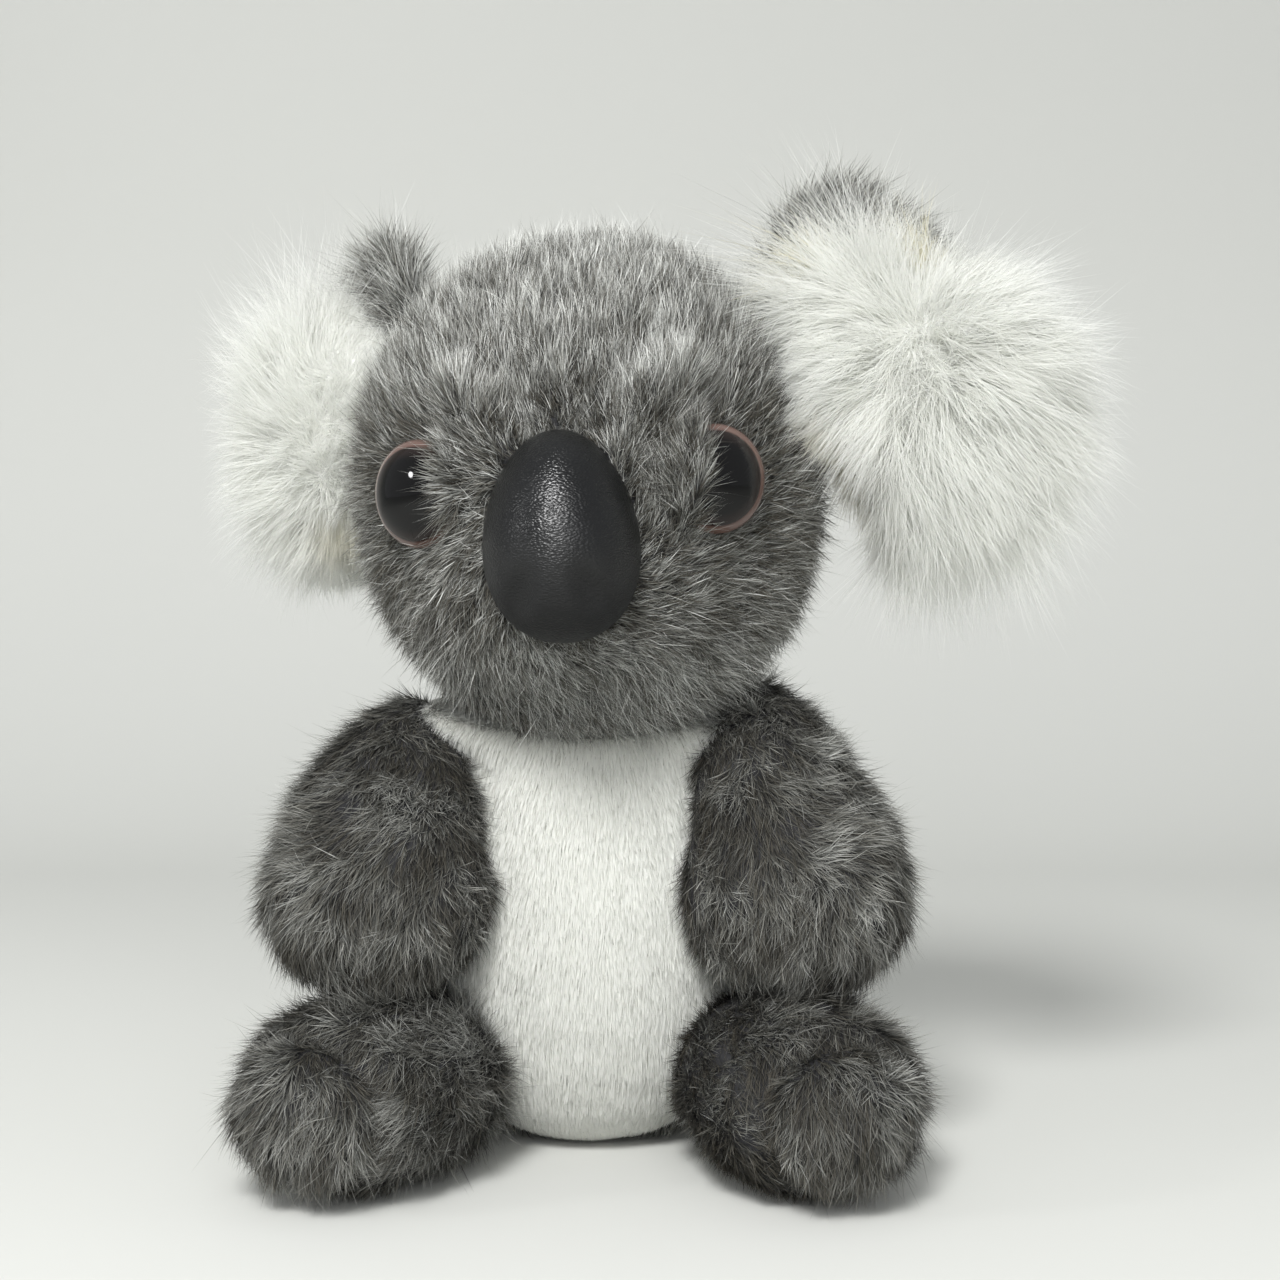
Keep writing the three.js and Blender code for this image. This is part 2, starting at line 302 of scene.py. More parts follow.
def search_tree(names: Sequence[str]) -> BVHTree:
    """A search tree over the faces of CAD nodes."""
    corners: list[Vector] = []
    faces: list[tuple[int, ...]] = []
    for name in names:
        mesh = frame["nodes"][name].data
        start = len(corners)
        corners.extend(vertex.co.copy() for vertex in mesh.vertices)
        faces.extend(tuple(start + i for i in polygon.vertices) for polygon in mesh.polygons)
    return BVHTree.FromPolygons(corners, faces)


def new_object(name: str, data: bpy.types.ID) -> bpy.types.Object:
    """Links a mesh, a lamp or a camera into the scene under a name."""
    made = bpy.data.objects.new(name, data)
    bpy.context.scene.collection.objects.link(made)
    return made


def new_mesh(name: str, points: Sequence[Sequence[float]], faces: Sequence[Sequence[int]]) -> bpy.types.Mesh:
    """A smooth mesh of corners and faces."""
    mesh = bpy.data.meshes.new(name)
    mesh.from_pydata(points, [], faces)
    mesh.shade_smooth()
    return mesh


@dataclass
class Skin:
    """The closed skin of a stuffed form, with the fields that its pile follows.

    Each field has one row for each corner of the mesh.
    """

    mesh: bpy.types.Mesh
    points: Numbers
    normals: Numbers
    comb: Numbers = field(init=False)
    length: Numbers = field(init=False)
    lift: Numbers = field(init=False)
    thick: Numbers = field(init=False)
    shade: Numbers = field(init=False)

    FIELDS = ("comb", "length", "lift", "thick", "shade")

    def __post_init__(self) -> None:
        """Starts every field at an even pile that hangs down."""
        self.comb = along(-UP, self.normals)
        self.length, self.lift, self.thick = np.ones((3, len(self.points)))
        self.shade = np.full(len(self.points), 0.5)

    @property
    def middle(self) -> Numbers:
        """The middle of the skin's box."""
        return (self.points.min(0) + self.points.max(0)) / 2

    @classmethod
    def over(cls, name: str, nodes: Sequence[str], detail: int, passes: int) -> "Skin":
        """Wraps CAD nodes in one even mesh, by rays cast inwards from a ball round them.

        Args:
            name: the mesh's name.
            nodes: the nodes to wrap.
            detail: how often the ball's faces are divided.
            passes: how often the result is smoothed.

        Returns:
            The skin.
        """
        points = node_points(nodes)
        middle = Vector((points.min(0) + points.max(0)) / 2)
        reach = float(np.linalg.norm(points.max(0) - points.min(0)))
        tree = search_tree(nodes)
        ball = bmesh.new()
        bmesh.ops.create_icosphere(ball, subdivisions=detail, radius=1.0)
        for vertex in ball.verts:
            outwards = vertex.co.normalized()
            hit = tree.ray_cast(middle + outwards * reach, -outwards)[0]
            vertex.co = hit if hit is not None else middle
        for _ in range(passes):
            bmesh.ops.smooth_vert(
                ball, verts=ball.verts, factor=0.5, use_axis_x=True, use_axis_y=True, use_axis_z=True
            )
        return cls.from_bmesh(name, ball)

    @classmethod
    def from_bmesh(cls, name: str, source: bmesh.types.BMesh) -> "Skin":
        """Turns an edited mesh into a smooth skin."""
        source.normal_update()
        mesh = bpy.data.meshes.new(name)
        source.to_mesh(mesh)
        points = np.array([vertex.co for vertex in source.verts])
        normals = np.array([vertex.normal for vertex in source.verts])
        source.free()
        mesh.shade_smooth()
        return cls(mesh, points, normals)

    def bare_near(self, nodes: Sequence[str], reach: float) -> None:
        """Leaves the skin bare where it faces a neighbour.

        Args:
            nodes: the neighbour's CAD nodes.
            reach: how near the neighbour is, in metres.
        """
        tree = search_tree(nodes)
        for i, point in enumerate(self.points):
            if tree.find_nearest(Vector(point), reach)[0] is not None:
                self.thick[i] = 0.0

    def keep_within(self, box: tuple[Numbers, Numbers], reach: float) -> None:
        """Shortens the pile where it would leave a box.

        Args:
            box: the box's lowest and highest corners.
            reach: how far the pile reaches at a length of 1, in metres.
        """
        room = np.where(self.normals > 0, box[1] - self.points, self.points - box[0])
        room = (np.maximum(room, 0) / np.maximum(np.abs(self.normals), 0.05)).min(1)
        self.length = np.minimum(self.length, room / reach)

    def swirl(self, centre: Numbers, reach: float, turn: float) -> None:
        """Turns the comb in a whirl.

        Args:
            centre: the whirl's middle, on the skin.
            reach: how far it spreads, in metres.
            turn: radians by which the comb turns in its middle.
        """
        angle = turn * hill(np.linalg.norm(self.points - centre, axis=1), 0, reach)
        across = np.cross(self.normals, self.comb)
        self.comb = self.comb * np.cos(angle)[:, None] + across * np.sin(angle)[:, None]

    def move(self, offset: Numbers) -> None:
        """Moves the skin's corners, and finds its normals again."""
        self.points = self.points + offset
        self.mesh.vertices.foreach_set("co", self.points.astype(np.float32).ravel())
        self.mesh.update()
        self.normals = np.array([corner.vector for corner in self.mesh.vertex_normals])
        self.comb = along(self.comb, self.normals)

    def store(self, mask: Numbers) -> None:
        """Writes the fields to the mesh for the pile to read, thinned by a mask."""
        for name in self.FIELDS:
            values = getattr(self, name) * (mask if name == "thick" else 1)
            kind, key = ("FLOAT_VECTOR", "vector") if values.ndim > 1 else ("FLOAT", "value")
            attribute = self.mesh.attributes.get(name) or self.mesh.attributes.new(name, kind, "POINT")
            attribute.data.foreach_set(key, values.astype(np.float32).ravel())


@dataclass(frozen=True)
class Pile:
    """How one kind of pile grows. Lengths are in millimetres."""

    density: float  # strands on a square millimetre
    length: float
    width: float
    lift: float  # 0 lies on the skin, 1 stands up from it
    bend: float  # how far a tip leans over, as a share of its length
    stray: float  # how far single strands leave the comb
    clump: float  # how far whole tufts leave it
    clump_size: float
    tone_spread: float  # how much single strands differ in tone
    joints: int = 2  # straight stretches in a strand
    lock_size: float = 1.1  # strands as near as this share a tone and a direction
    lock: float = 0.3  # how far such a lock leaves the comb
    tone_clump: float = 0.3  # how much locks differ in tone
    tone_patch: float = 0.0  # how much whole tufts differ in tone
    tone_lift: float = 0.0  # how much paler it is than its skin's shade
    curl: float = 0.15  # how far tips bend anywhere, as a share of their length
    sag: float = 0.0  # how far a tip hangs, as a share of its length

    @classmethod
    def inputs(cls) -> tuple[str, ...]:
        """The names of the tree's inputs for these values, where a size is given as a scale."""
        return tuple(item.name.replace("_", " ").title().replace("Size", "Scale") for item in fields(cls))

    def values(self) -> dict[str, float]:
        """The values of the tree's inputs, in metres."""
        share = 1.0
        given = dict(zip(self.inputs(), (getattr(self, item.name) for item in fields(self))))
        given["Density"] = share * self.density / MM**2
        given["Length"] = self.length * MM
        given["Width"] = self.width * MM / math.sqrt(share)
        given["Clump Scale"] = 1 / (self.clump_size * MM)
        given["Lock Scale"] = 1 / (self.lock_size * MM)
        return given


@dataclass(frozen=True)
class Coat:
    """A pile of short soft strands, with longer, paler and more wayward ones over it."""

    under: Pile
    over: Pile

    @classmethod
    def of(cls, under: Pile, **changes: float) -> "Coat":
        """A coat whose longer hairs are one joint finer than the short ones, and differ in what is named."""
        return cls(under, replace(under, joints=under.joints + 1, **changes))

    def layers(self) -> tuple[tuple[str, Pile], ...]:
        """Both piles with the words that piece names use."""
        return (("under", self.under), ("over", self.over))


class PileTree:
    """The geometry nodes that grow a pile on a skin: flat strands that taper, lean and curl over."""

    KINDS = {"Joints": "Int", "Seed": "Int", "Geometry": "Geometry", "Material": "Material"}
    STRAND_FIELDS = (*Skin.FIELDS, "bend", "tone", "place", "across")
    SEEDS = {"length": 3, "tone": 5, "width": 7, "stray": 11, "turn": 17, "curl": 23}
    LENGTHS = (0.7, 1.15)  # the shortest and longest strands, as shares of the pile's length
    WIDTHS = (0.6, 1.3)
    TURNS = 0.8  # how far strands turn about themselves
    TUFT_DETAIL = 1.5  # how ragged whole tufts are
    TONES = (0.01, 0.98)  # the darkest and palest a strand gets
    MAP_WIDTH = 0.006  # how much of the map's width one strand takes
    TAPER = 2.2  # how late a strand gets narrow
    WELD = 0.01  # how near the corners of a strand of unit size are joined at its tip

    def __init__(self) -> None:
        """Builds the tree once."""
        self.group = bpy.data.node_groups.new("pile", "GeometryNodeTree")
        self.tree = Tree(self.group)
        for name in ("Geometry", *Pile.inputs(), "Seed", "Material"):
            self._add_socket(name, "INPUT")
        self._add_socket("Geometry", "OUTPUT")
        self.given = self.tree.add("NodeGroupInput")
        self._build()

    def _add_socket(self, name: str, side: str) -> None:
        """Adds one of the tree's own inputs or outputs."""
        kind = "NodeSocket" + self.KINDS.get(name, "Float")
        self.group.interface.new_socket(name, in_out=side, socket_type=kind)

    def _input(self, name: str) -> Wire:
        """One of the tree's own inputs."""
        return self.tree.out(self.given, name)

    def _named(self, name: str, kind: str = "FLOAT") -> Wire:
        """A field that the skin or an earlier step stored."""
        settings = {"data_type": kind}
        return self.tree.wire("GeometryNodeInputNamedAttribute", settings, {"Name": name}, "Attribute")

    def _random(self, span: tuple[float, float], use: str) -> Wire:
        """A number for each strand."""
        values = dict(zip(("Min", "Max"), span)) | {"Seed": self._input("Seed") + float(self.SEEDS[use])}
        return self.tree.wire("FunctionNodeRandomValue", {"data_type": "FLOAT"}, values)

    def _random_arrow(self, use: str) -> Wire:
        """A vector for each strand, from -1 to 1 along each axis."""
        values = {"Min": (-1.0,) * 3, "Max": (1.0,) * 3, "Seed": self.SEEDS[use]}
        return self.tree.wire("FunctionNodeRandomValue", {"data_type": "FLOAT_VECTOR"}, values)

    def _keep(self, geometry: Wire, name: str, kind: str, value: Wire, domain: str = "POINT") -> Wire:
        """Stores a field on a geometry under a name."""
        values = {"Geometry": geometry, "Name": name, "Value": value}
        return self.tree.wire("GeometryNodeStoreNamedAttribute", {"data_type": kind, "domain": domain}, values)

    def _strand(self) -> Wire:
        """One strand of unit size: a ribbon up Z that narrows to a point."""
        tree = self.tree
        values = {"Size X": 1.0, "Size Y": 1.0, "Vertices X": 2, "Vertices Y": self._input("Joints") + 1}
        grid = tree.wire("GeometryNodeMeshGrid", None, values, "Mesh")
        corner = tree.wire("GeometryNodeInputPosition")
        stored = self._keep(grid, "across", "FLOAT", tree.part(corner, "X"))
        stored = self._keep(stored, "place", "FLOAT", tree.part(corner, "Y") + 0.5)
        wide = 1 - self._named("place") ** self.TAPER
        shape = tree.vector(X=self._named("across") * wide, Z=self._named("place"))
        moved = tree.wire("GeometryNodeSetPosition", None, {"Geometry": stored, "Position": shape})
        return tree.wire("GeometryNodeMergeByDistance", None, {"Geometry": moved, "Distance": self.WELD})

    def _noise(self, scale: str, detail: float) -> Wire:
        """A smooth vector, which is alike as far as the scale of that name says."""
        here = self.tree.wire("GeometryNodeInputPosition")
        values = {"Vector": here, "Scale": self._input(scale), "Detail": detail}
        return self.tree.wire("ShaderNodeTexNoise", None, values, "Color")

    def _build(self) -> None:
        """Lays out the whole tree."""
        tree = self.tree
        thick = self._input("Density") * self._named("thick")
        values = {"Mesh": self._input("Geometry"), "Density": thick, "Seed": self._input("Seed")}
        scatter = tree.add("GeometryNodeDistributePointsOnFaces", {"distribute_method": "RANDOM"}, values)
        normal = tree.out(scatter, "Normal")
        comb = self._named("comb", "FLOAT_VECTOR")
        lift = self._named("lift") * self._input("Lift")
        locks = self._noise("Lock Scale", 0.0)
        tufts = self._noise("Clump Scale", self.TUFT_DETAIL)
        tuft = (tufts - 0.5) * self._input("Clump") + (locks - 0.5) * self._input("Lock")
        start = normal * lift + comb * (1 - lift) + tuft + self._random_arrow("stray") * self._input("Stray")
        tall = self._named("length") * self._input("Length") * self._random(self.LENGTHS, "length")
        bend = (comb + tuft) * (tall * self._input("Bend"))
        bend = bend + self._random_arrow("curl") * (tall * self._input("Curl"))
        bend = bend + tree.vector(Z=tall * self._input("Sag") * -1.0)
        tone = self._named("shade") + self._input("Tone Lift")
        for noise, share in ((locks, "Tone Clump"), (tufts, "Tone Patch")):
            tone = tone + (tree.part(noise, "Z") - 0.5) * self._input(share) * 2.0
        tone = tone + self._random((-0.5, 0.5), "tone") * self._input("Tone Spread")
        tone = tree.math("MINIMUM", tree.math("MAXIMUM", tone, self.TONES[0]), self.TONES[1])
        points = self._keep(tree.out(scatter, "Points"), "bend", "FLOAT_VECTOR", bend)
        points = self._keep(points, "tone", "FLOAT", tone)
        values = {"Primary Axis": start, "Secondary Axis": normal + self._random_arrow("turn") * self.TURNS}
        turn = tree.wire("FunctionNodeAxesToRotation", {"primary_axis": "Z", "secondary_axis": "Y"}, values)
        size = tree.vector(X=self._input("Width") * self._random(self.WIDTHS, "width"), Y=1.0, Z=tall)
        values = {"Points": points, "Instance": self._strand(), "Rotation": turn, "Scale": size}
        placed = tree.wire("GeometryNodeInstanceOnPoints", None, values)
        whole = tree.wire("GeometryNodeRealizeInstances", None, {"Geometry": placed})
        curl = self._named("bend", "FLOAT_VECTOR") * self._named("place") ** 2.0
        bent = tree.wire("GeometryNodeSetPosition", None, {"Geometry": whole, "Offset": curl})
        column = self._named("tone") + self._named("across") * self.MAP_WIDTH
        place = tree.vector(X=column, Y=self._named("place") * 0.98 + 0.01)
        made = self._keep(bent, STRAND_MAP, "FLOAT2", place, "CORNER")
        for name in self.STRAND_FIELDS:
            made = tree.wire("GeometryNodeRemoveAttribute", None, {"Geometry": made, "Name": name})
        values = {"Geometry": made, "Material": self._input("Material")}
        tree.add("NodeGroupOutput", None, {"Geometry": tree.wire("GeometryNodeSetMaterial", None, values)})

    def grow(
        self, name: str, skin: Skin, pile: Pile, material: bpy.types.Material, seed: int
    ) -> bpy.types.Object:
        """Grows a pile on a skin and gives it as a plain mesh.

        Args:
            name: the new piece's name.
            skin: the skin, with its fields stored.
            pile: how the pile grows.
            material: its finish.
            seed: what its random numbers start from.

        Returns:
            The piece.
        """
        carrier = new_object(name + "_carrier", skin.mesh)
        modifier = carrier.modifiers.new("pile", "NODES")
        modifier.node_group = self.group
        sockets = self.group.interface.items_tree
        given = {item.name: item.identifier for item in sockets if item.in_out == "INPUT"}
        for key, value in (pile.values() | {"Seed": seed, "Material": material}).items():
            modifier[given[key]] = value
        graph = bpy.context.evaluated_depsgraph_get()
        mesh = bpy.data.meshes.new_from_object(carrier.evaluated_get(graph), depsgraph=graph)
        carrier.modifiers.clear()
        bpy.data.objects.remove(carrier)
        mesh.name = name
        mesh.shade_smooth()
        return new_object(name, mesh)


@dataclass(frozen=True)
class Finish:
    """A look, which is built as one material."""

    name: str

    def material(self) -> bpy.types.Material:
        """Builds the material."""
        made = bpy.data.materials.new(self.name)
        made.use_nodes = True
        tree = Tree(made.node_tree)
        tree.add("ShaderNodeOutputMaterial", None, {"Surface": self.surface(tree)})
        return made

    def surface(self, tree: Tree) -> Wire:
        """Its shader, which reads only the piece's own place or map."""
        raise NotImplementedError


@dataclass(frozen=True)
class PileFinish(Finish):
    """The look of a pile: its tones from dark to pale, and how a strand changes from root to tip."""

    tones: tuple[tuple[float, Colour], ...]
    root: float  # brightness at the root, as a share of the strand's own
    tip: Colour
    warm: Colour  # what every few strands are tinted with
    warm_share: float
    glow: float  # share of the light that passes through a strand
    roughness: float
    tip_share: float = 0.4  # how far the tip goes to its own colour

    TINTS = 173.0  # how fast the tint comes and goes over the tones

    def surface(self, tree: Tree) -> Wire:
        """Colours a strand across its map by its tone, and up its map from root to tip."""
        place = tree.on_map()
        tone, height = tree.part(place, "X"), tree.part(place, "Y")
        colour = tree.ramp(tone, self.tones)
        wave = tree.math("SINE", tone * self.TINTS) * 0.5 + 0.5
        colour = tree.blend(wave * self.warm_share, colour, self.warm)
        pale = tree.between(height, 0.35, 1.0) * tree.between(tone, 0.2, 0.75)
        colour = tree.blend(pale * self.tip_share, colour, self.tip)
        colour = colour * (tree.between(height, -0.1, 0.75) * (1 - self.root) + self.root)
        values = {"Base Color": colour, "Roughness": self.roughness, "Specular IOR Level": 0.3}
        shader = tree.wire("ShaderNodeBsdfPrincipled", None, values)
        if not self.glow:
            return shader
        through = tree.wire("ShaderNodeBsdfTranslucent", None, {"Color": self.tip})
        return tree.wire("ShaderNodeMixShader", None, {0: self.glow, 1: shader, 2: through})


@dataclass(frozen=True)
class ClothFinish(Finish):
    """The knitted backing under a pile, with its rows of roots."""

    front: Colour
    back: Colour
    edge: float = -1.0  # metres along Y where the front colour ends
    collar: float = 0.0  # how much further back it ends round the neck, in metres

    NECK = (64 * MM, 84 * MM)  # heights between which the collar sets in
    BLUR = 0.5 * MM  # how soft the edge is
    KNOT = 0.4 * MM  # how deep a root sits
    ROOTS = 1400.0  # roots in a metre

    def surface(self, tree: Tree) -> Wire:
        """Colours the cloth in front and behind, with a knot at each root."""
        here = tree.here()
        rows = tree.wire("ShaderNodeTexVoronoi", None, {"Vector": here, "Scale": self.ROOTS}, "Distance")
        depth = tree.part(here, "Y") - tree.between(tree.part(here, "Z"), *self.NECK) * self.collar
        behind = tree.between(depth, self.edge - self.BLUR, self.edge + self.BLUR)
        colour = tree.blend(behind, self.front, self.back)
        values = {
            "Base Color": colour * (tree.between(tree.cloud(here, 180.0, 4.0), 0.2, 0.8) * 0.5 + 0.6),
            "Roughness": tree.between(rows, 0.0, 0.6) * 0.15 + 0.8,
            "Specular IOR Level": 0.2,
            "Normal": tree.bump(rows, self.KNOT, 0.6),
        }
        return tree.wire("ShaderNodeBsdfPrincipled", None, values)


@dataclass(frozen=True)
class PlasticFinish(Finish):
    """Moulded plastic with a fine grain."""

    colour: Colour
    roughness: float
    grain: tuple[float, float, float]  # grains in a metre along each axis
    depth: float  # metres
    strength: float
    gloss: float = 0.5
    dull: tuple[float, float] = (-1.0, 0.0)  # heights between which it gets glossier, in metres

    def surface(self, tree: Tree) -> Wire:
        """Pebbles the plastic, and makes it uneven in tone and gloss."""
        here = tree.here()
        glossy = tree.between(tree.part(here, "Z"), *self.dull)
        grains = tree.arrow("MULTIPLY", here, self.grain)
        values = {"Vector": grains, "Scale": 1.0}
        pebble = tree.wire("ShaderNodeTexVoronoi", {"feature": "SMOOTH_F1"}, values, "Distance")
        patch = tree.cloud(here, 120.0, 5.0)
        pale = tuple(1.5 * part for part in self.colour)
        values = {
            "Base Color": tree.blend(tree.between(patch, 0.3, 0.75), self.colour, pale),
            "Roughness": tree.between(patch, 0.25, 0.8) * 0.1 + self.roughness + (1 - glossy) * 0.4,
            "Specular IOR Level": self.gloss,
            "Normal": tree.bump(1 - pebble, self.depth, self.strength),
        }
        return tree.wire("ShaderNodeBsdfPrincipled", None, values)


@dataclass(frozen=True)
class PaintFinish(Finish):
    """The backdrop's matt paint, a little uneven in tone, with painted shade that darkens it higher up the
    wall.
    """

    colour: Colour
    wall: tuple[float, float] = (0.1, 0.42)  # heights between which painted shade darkens it, in metres

    def surface(self, tree: Tree) -> Wire:
        """Blends two near tones, and darkens them up the wall with painted shade."""
        here = tree.here()
        pale = tuple(min(1.0, 1.06 * part) for part in self.colour)
        colour = tree.blend(tree.cloud(here, 3.0, 2.0), self.colour, pale)
        # painted shade: darker higher up the wall
        colour = colour * (1.03 - tree.between(tree.part(here, "Z"), *self.wall) * 0.09)
        return tree.wire("ShaderNodeBsdfPrincipled", None, {"Base Color": colour, "Roughness": 0.9})


@dataclass(frozen=True)
class EyeFinish(Finish):
    """A domed eye: a black pupil set towards the nose, and a thin brown rim behind clear plastic."""

    pupil: Colour = (0.003, 0.003, 0.003)
    iris: Colour = (0.013, 0.009, 0.008)
    rim: Colour = (0.115, 0.07, 0.059)
    shift: float = 0.065  # how far the paint lies off the middle, as a share of the width

    def surface(self, tree: Tree) -> Wire:
        """Paints rings by how far the dome's round map is from their middle."""
        radius = tree.arrow("DISTANCE", tree.on_map(), (0.5 - self.shift, 0.5, 0.0)) * 2.0
        colour = tree.blend(tree.between(radius, 0.6, 0.8), self.pupil, self.iris)
        values = {
            "Base Color": tree.blend(tree.between(radius, 0.82, 0.88), colour, self.rim),
            "Roughness": tree.between(radius, 0.9, 1.0) * 0.2 + 0.05,
            "Specular IOR Level": 0.28,
        }
        return tree.wire("ShaderNodeBsdfPrincipled", None, values)


@dataclass
class Wardrobe:
    """Every finish of the toy, the tree that grows its piles, and the box that they stay within."""

    box: tuple[Numbers, Numbers]
    grey: PileFinish = PileFinish(
        name="grey_pile",
        tones=(
            (0.0, (0.012, 0.0115, 0.0115)),
            (0.25, (0.041, 0.041, 0.038)),
            (0.5, (0.147, 0.15, 0.138)),
            (0.75, (0.37, 0.378, 0.358)),
            (1.0, (0.79, 0.805, 0.775)),
        ),
        root=0.22,
        tip=(0.69, 0.695, 0.66),
        warm=(0.19, 0.17, 0.125),
        warm_share=0.3,
        glow=0.0,
        roughness=0.6,
    )
    white: PileFinish = PileFinish(
        name="white_pile",
        tones=(
            (0.0, (0.74, 0.66, 0.34)),
            (0.25, (0.64, 0.61, 0.50)),
            (0.5, (0.83, 0.835, 0.81)),
            (1.0, (0.89, 0.895, 0.87)),
        ),
        root=0.97,
        tip=(0.89, 0.895, 0.87),
        warm=(0.80, 0.78, 0.70),
        warm_share=0.15,
        glow=0.6,
        roughness=0.55,
    )
    backing: ClothFinish = ClothFinish("grey_backing", (0.03, 0.03, 0.032), (0.03, 0.03, 0.032))
    torso_backing: ClothFinish = ClothFinish(
        "torso_backing", (0.72, 0.71, 0.68), (0.035, 0.035, 0.037), edge=-9 * MM, collar=9.5 * MM
    )
    ear_backing: ClothFinish = ClothFinish("white_backing", (0.8, 0.8, 0.78), (0.8, 0.8, 0.78))
    nose: PlasticFinish = PlasticFinish(
        "nose_plastic", (0.0025, 0.0027, 0.003), 0.27, grain=(2100, 2500, 3900), depth=0.14 * MM,
        strength=1.0, gloss=0.42, dull=(98 * MM, 114 * MM),
    )
    stem: PlasticFinish = PlasticFinish(
        "stem_plastic", (0.012, 0.011, 0.011), 0.3, grain=(1500, 1500, 1500), depth=0.03 * MM, strength=0.2
    )
    washer: PlasticFinish = PlasticFinish(
        "washer_plastic", (0.62, 0.62, 0.6), 0.45, grain=(900, 900, 900), depth=0.04 * MM, strength=0.2
    )
    eye: EyeFinish = EyeFinish("eye_glass")
    made: dict[str, bpy.types.Material] = field(default_factory=dict)
    piles: PileTree = field(default_factory=PileTree)

    FLOOR_GIVE = 1.5 * MM  # how softly strands are pressed back on the floor
    GIVE = 7 * MM  # and at the box's other sides

    def press(self, mesh: bpy.types.Mesh) -> None:
        """Presses the ends of strands back softly where they would leave the box."""
        flat = np.empty(3 * len(mesh.vertices), np.float32)
        mesh.vertices.foreach_get("co", flat)
        points = flat.reshape(-1, 3)
        for corner, sign in zip(self.box, (-1, 1)):
            soft = np.where(corner == 0, self.FLOOR_GIVE, self.GIVE)
            beyond = sign * (points - corner) + soft
            pressed = corner - sign * soft * np.exp(-np.maximum(beyond, 0) / soft)
            points = np.where(beyond > 0, pressed, points)
        mesh.vertices.foreach_set("co", points.astype(np.float32).ravel())
        mesh.update()

    def get(self, finish: Finish) -> bpy.types.Material:
        """The material of a finish, built once."""
        if finish.name not in self.made:
            self.made[finish.name] = finish.material()
        return self.made[finish.name]


@dataclass
class StuffedForm:
    """A stuffed form: a skin over its CAD nodes, and the piles that grow on it."""

    name: str
    body: str
    nodes: tuple[str, ...]
    wardrobe: Wardrobe
    detail: int = 5
    passes: int = 6

    def make_skin(self) -> Skin:
        """Wraps the form's nodes."""
        return Skin.over(self.name + "_skin", self.nodes, self.detail, self.passes)

    def finish_skin(self, skin: Skin, finish: ClothFinish) -> None:
        """Makes the skin a piece that stands for its nodes."""
        mesh = skin.mesh.copy()
        for attribute in [item.name for item in mesh.attributes if item.name in PileTree.STRAND_FIELDS]:
            mesh.attributes.remove(mesh.attributes[attribute])
        mesh.materials.append(self.wardrobe.get(finish))
        piece = new_object(self.name + "_skin", mesh)
        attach(piece, self.body)
        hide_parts(*self.nodes)

    def grow(
        self, name: str, skin: Skin, coat: Coat, finish: PileFinish, slot: str, seed: int,
        mask: Numbers | None = None,
    ) -> None:
        """Grows the two layers of a coat and reports them.

        Args:
            name: what the pieces' names start with.
            skin: the form's skin.
            coat: how the piles grow.
            finish: their look.
            slot: the record's material slot; not used.
            seed: what the random numbers start from.
            mask: how thick the coat is at each corner of the skin, from 0 to 1.
        """
        skin.store(np.ones(len(skin.points)) if mask is None else mask)
        material = self.wardrobe.get(finish)
        for step, (layer, pile) in enumerate(coat.layers()):
            piece = self.wardrobe.piles.grow(f"{name}_{layer}", skin, pile, material, seed + 40 * step)
            self.wardrobe.press(piece.data)
            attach(piece, self.body)
            log.info("%s_%s: %d faces", name, layer, len(piece.data.polygons))


@dataclass
class HeadFrame:
    """The head's own frame: its middle, and how it is turned and tilted."""

    turn: float = math.radians(-5)
    tilt: float = math.radians(-2.8)

    def matrix(self) -> Matrix:
        """From the head's frame to the whole toy's."""
        turned = Matrix.Rotation(self.turn, 4, "Z") @ Matrix.Rotation(self.tilt, 4, "Y")
        return Matrix.Translation(Vector(joint_place("neck"))) @ turned

    def own(self, points: Numbers) -> Numbers:
        """Points in the head's frame."""
        turned = np.array(self.matrix().inverted())
        return points @ turned[:3, :3].T + turned[:3, 3]

    def whole(self, vectors: Numbers) -> Numbers:
        """Directions of the head's frame, in the whole toy's."""
        return vectors @ np.array(self.matrix())[:3, :3].T


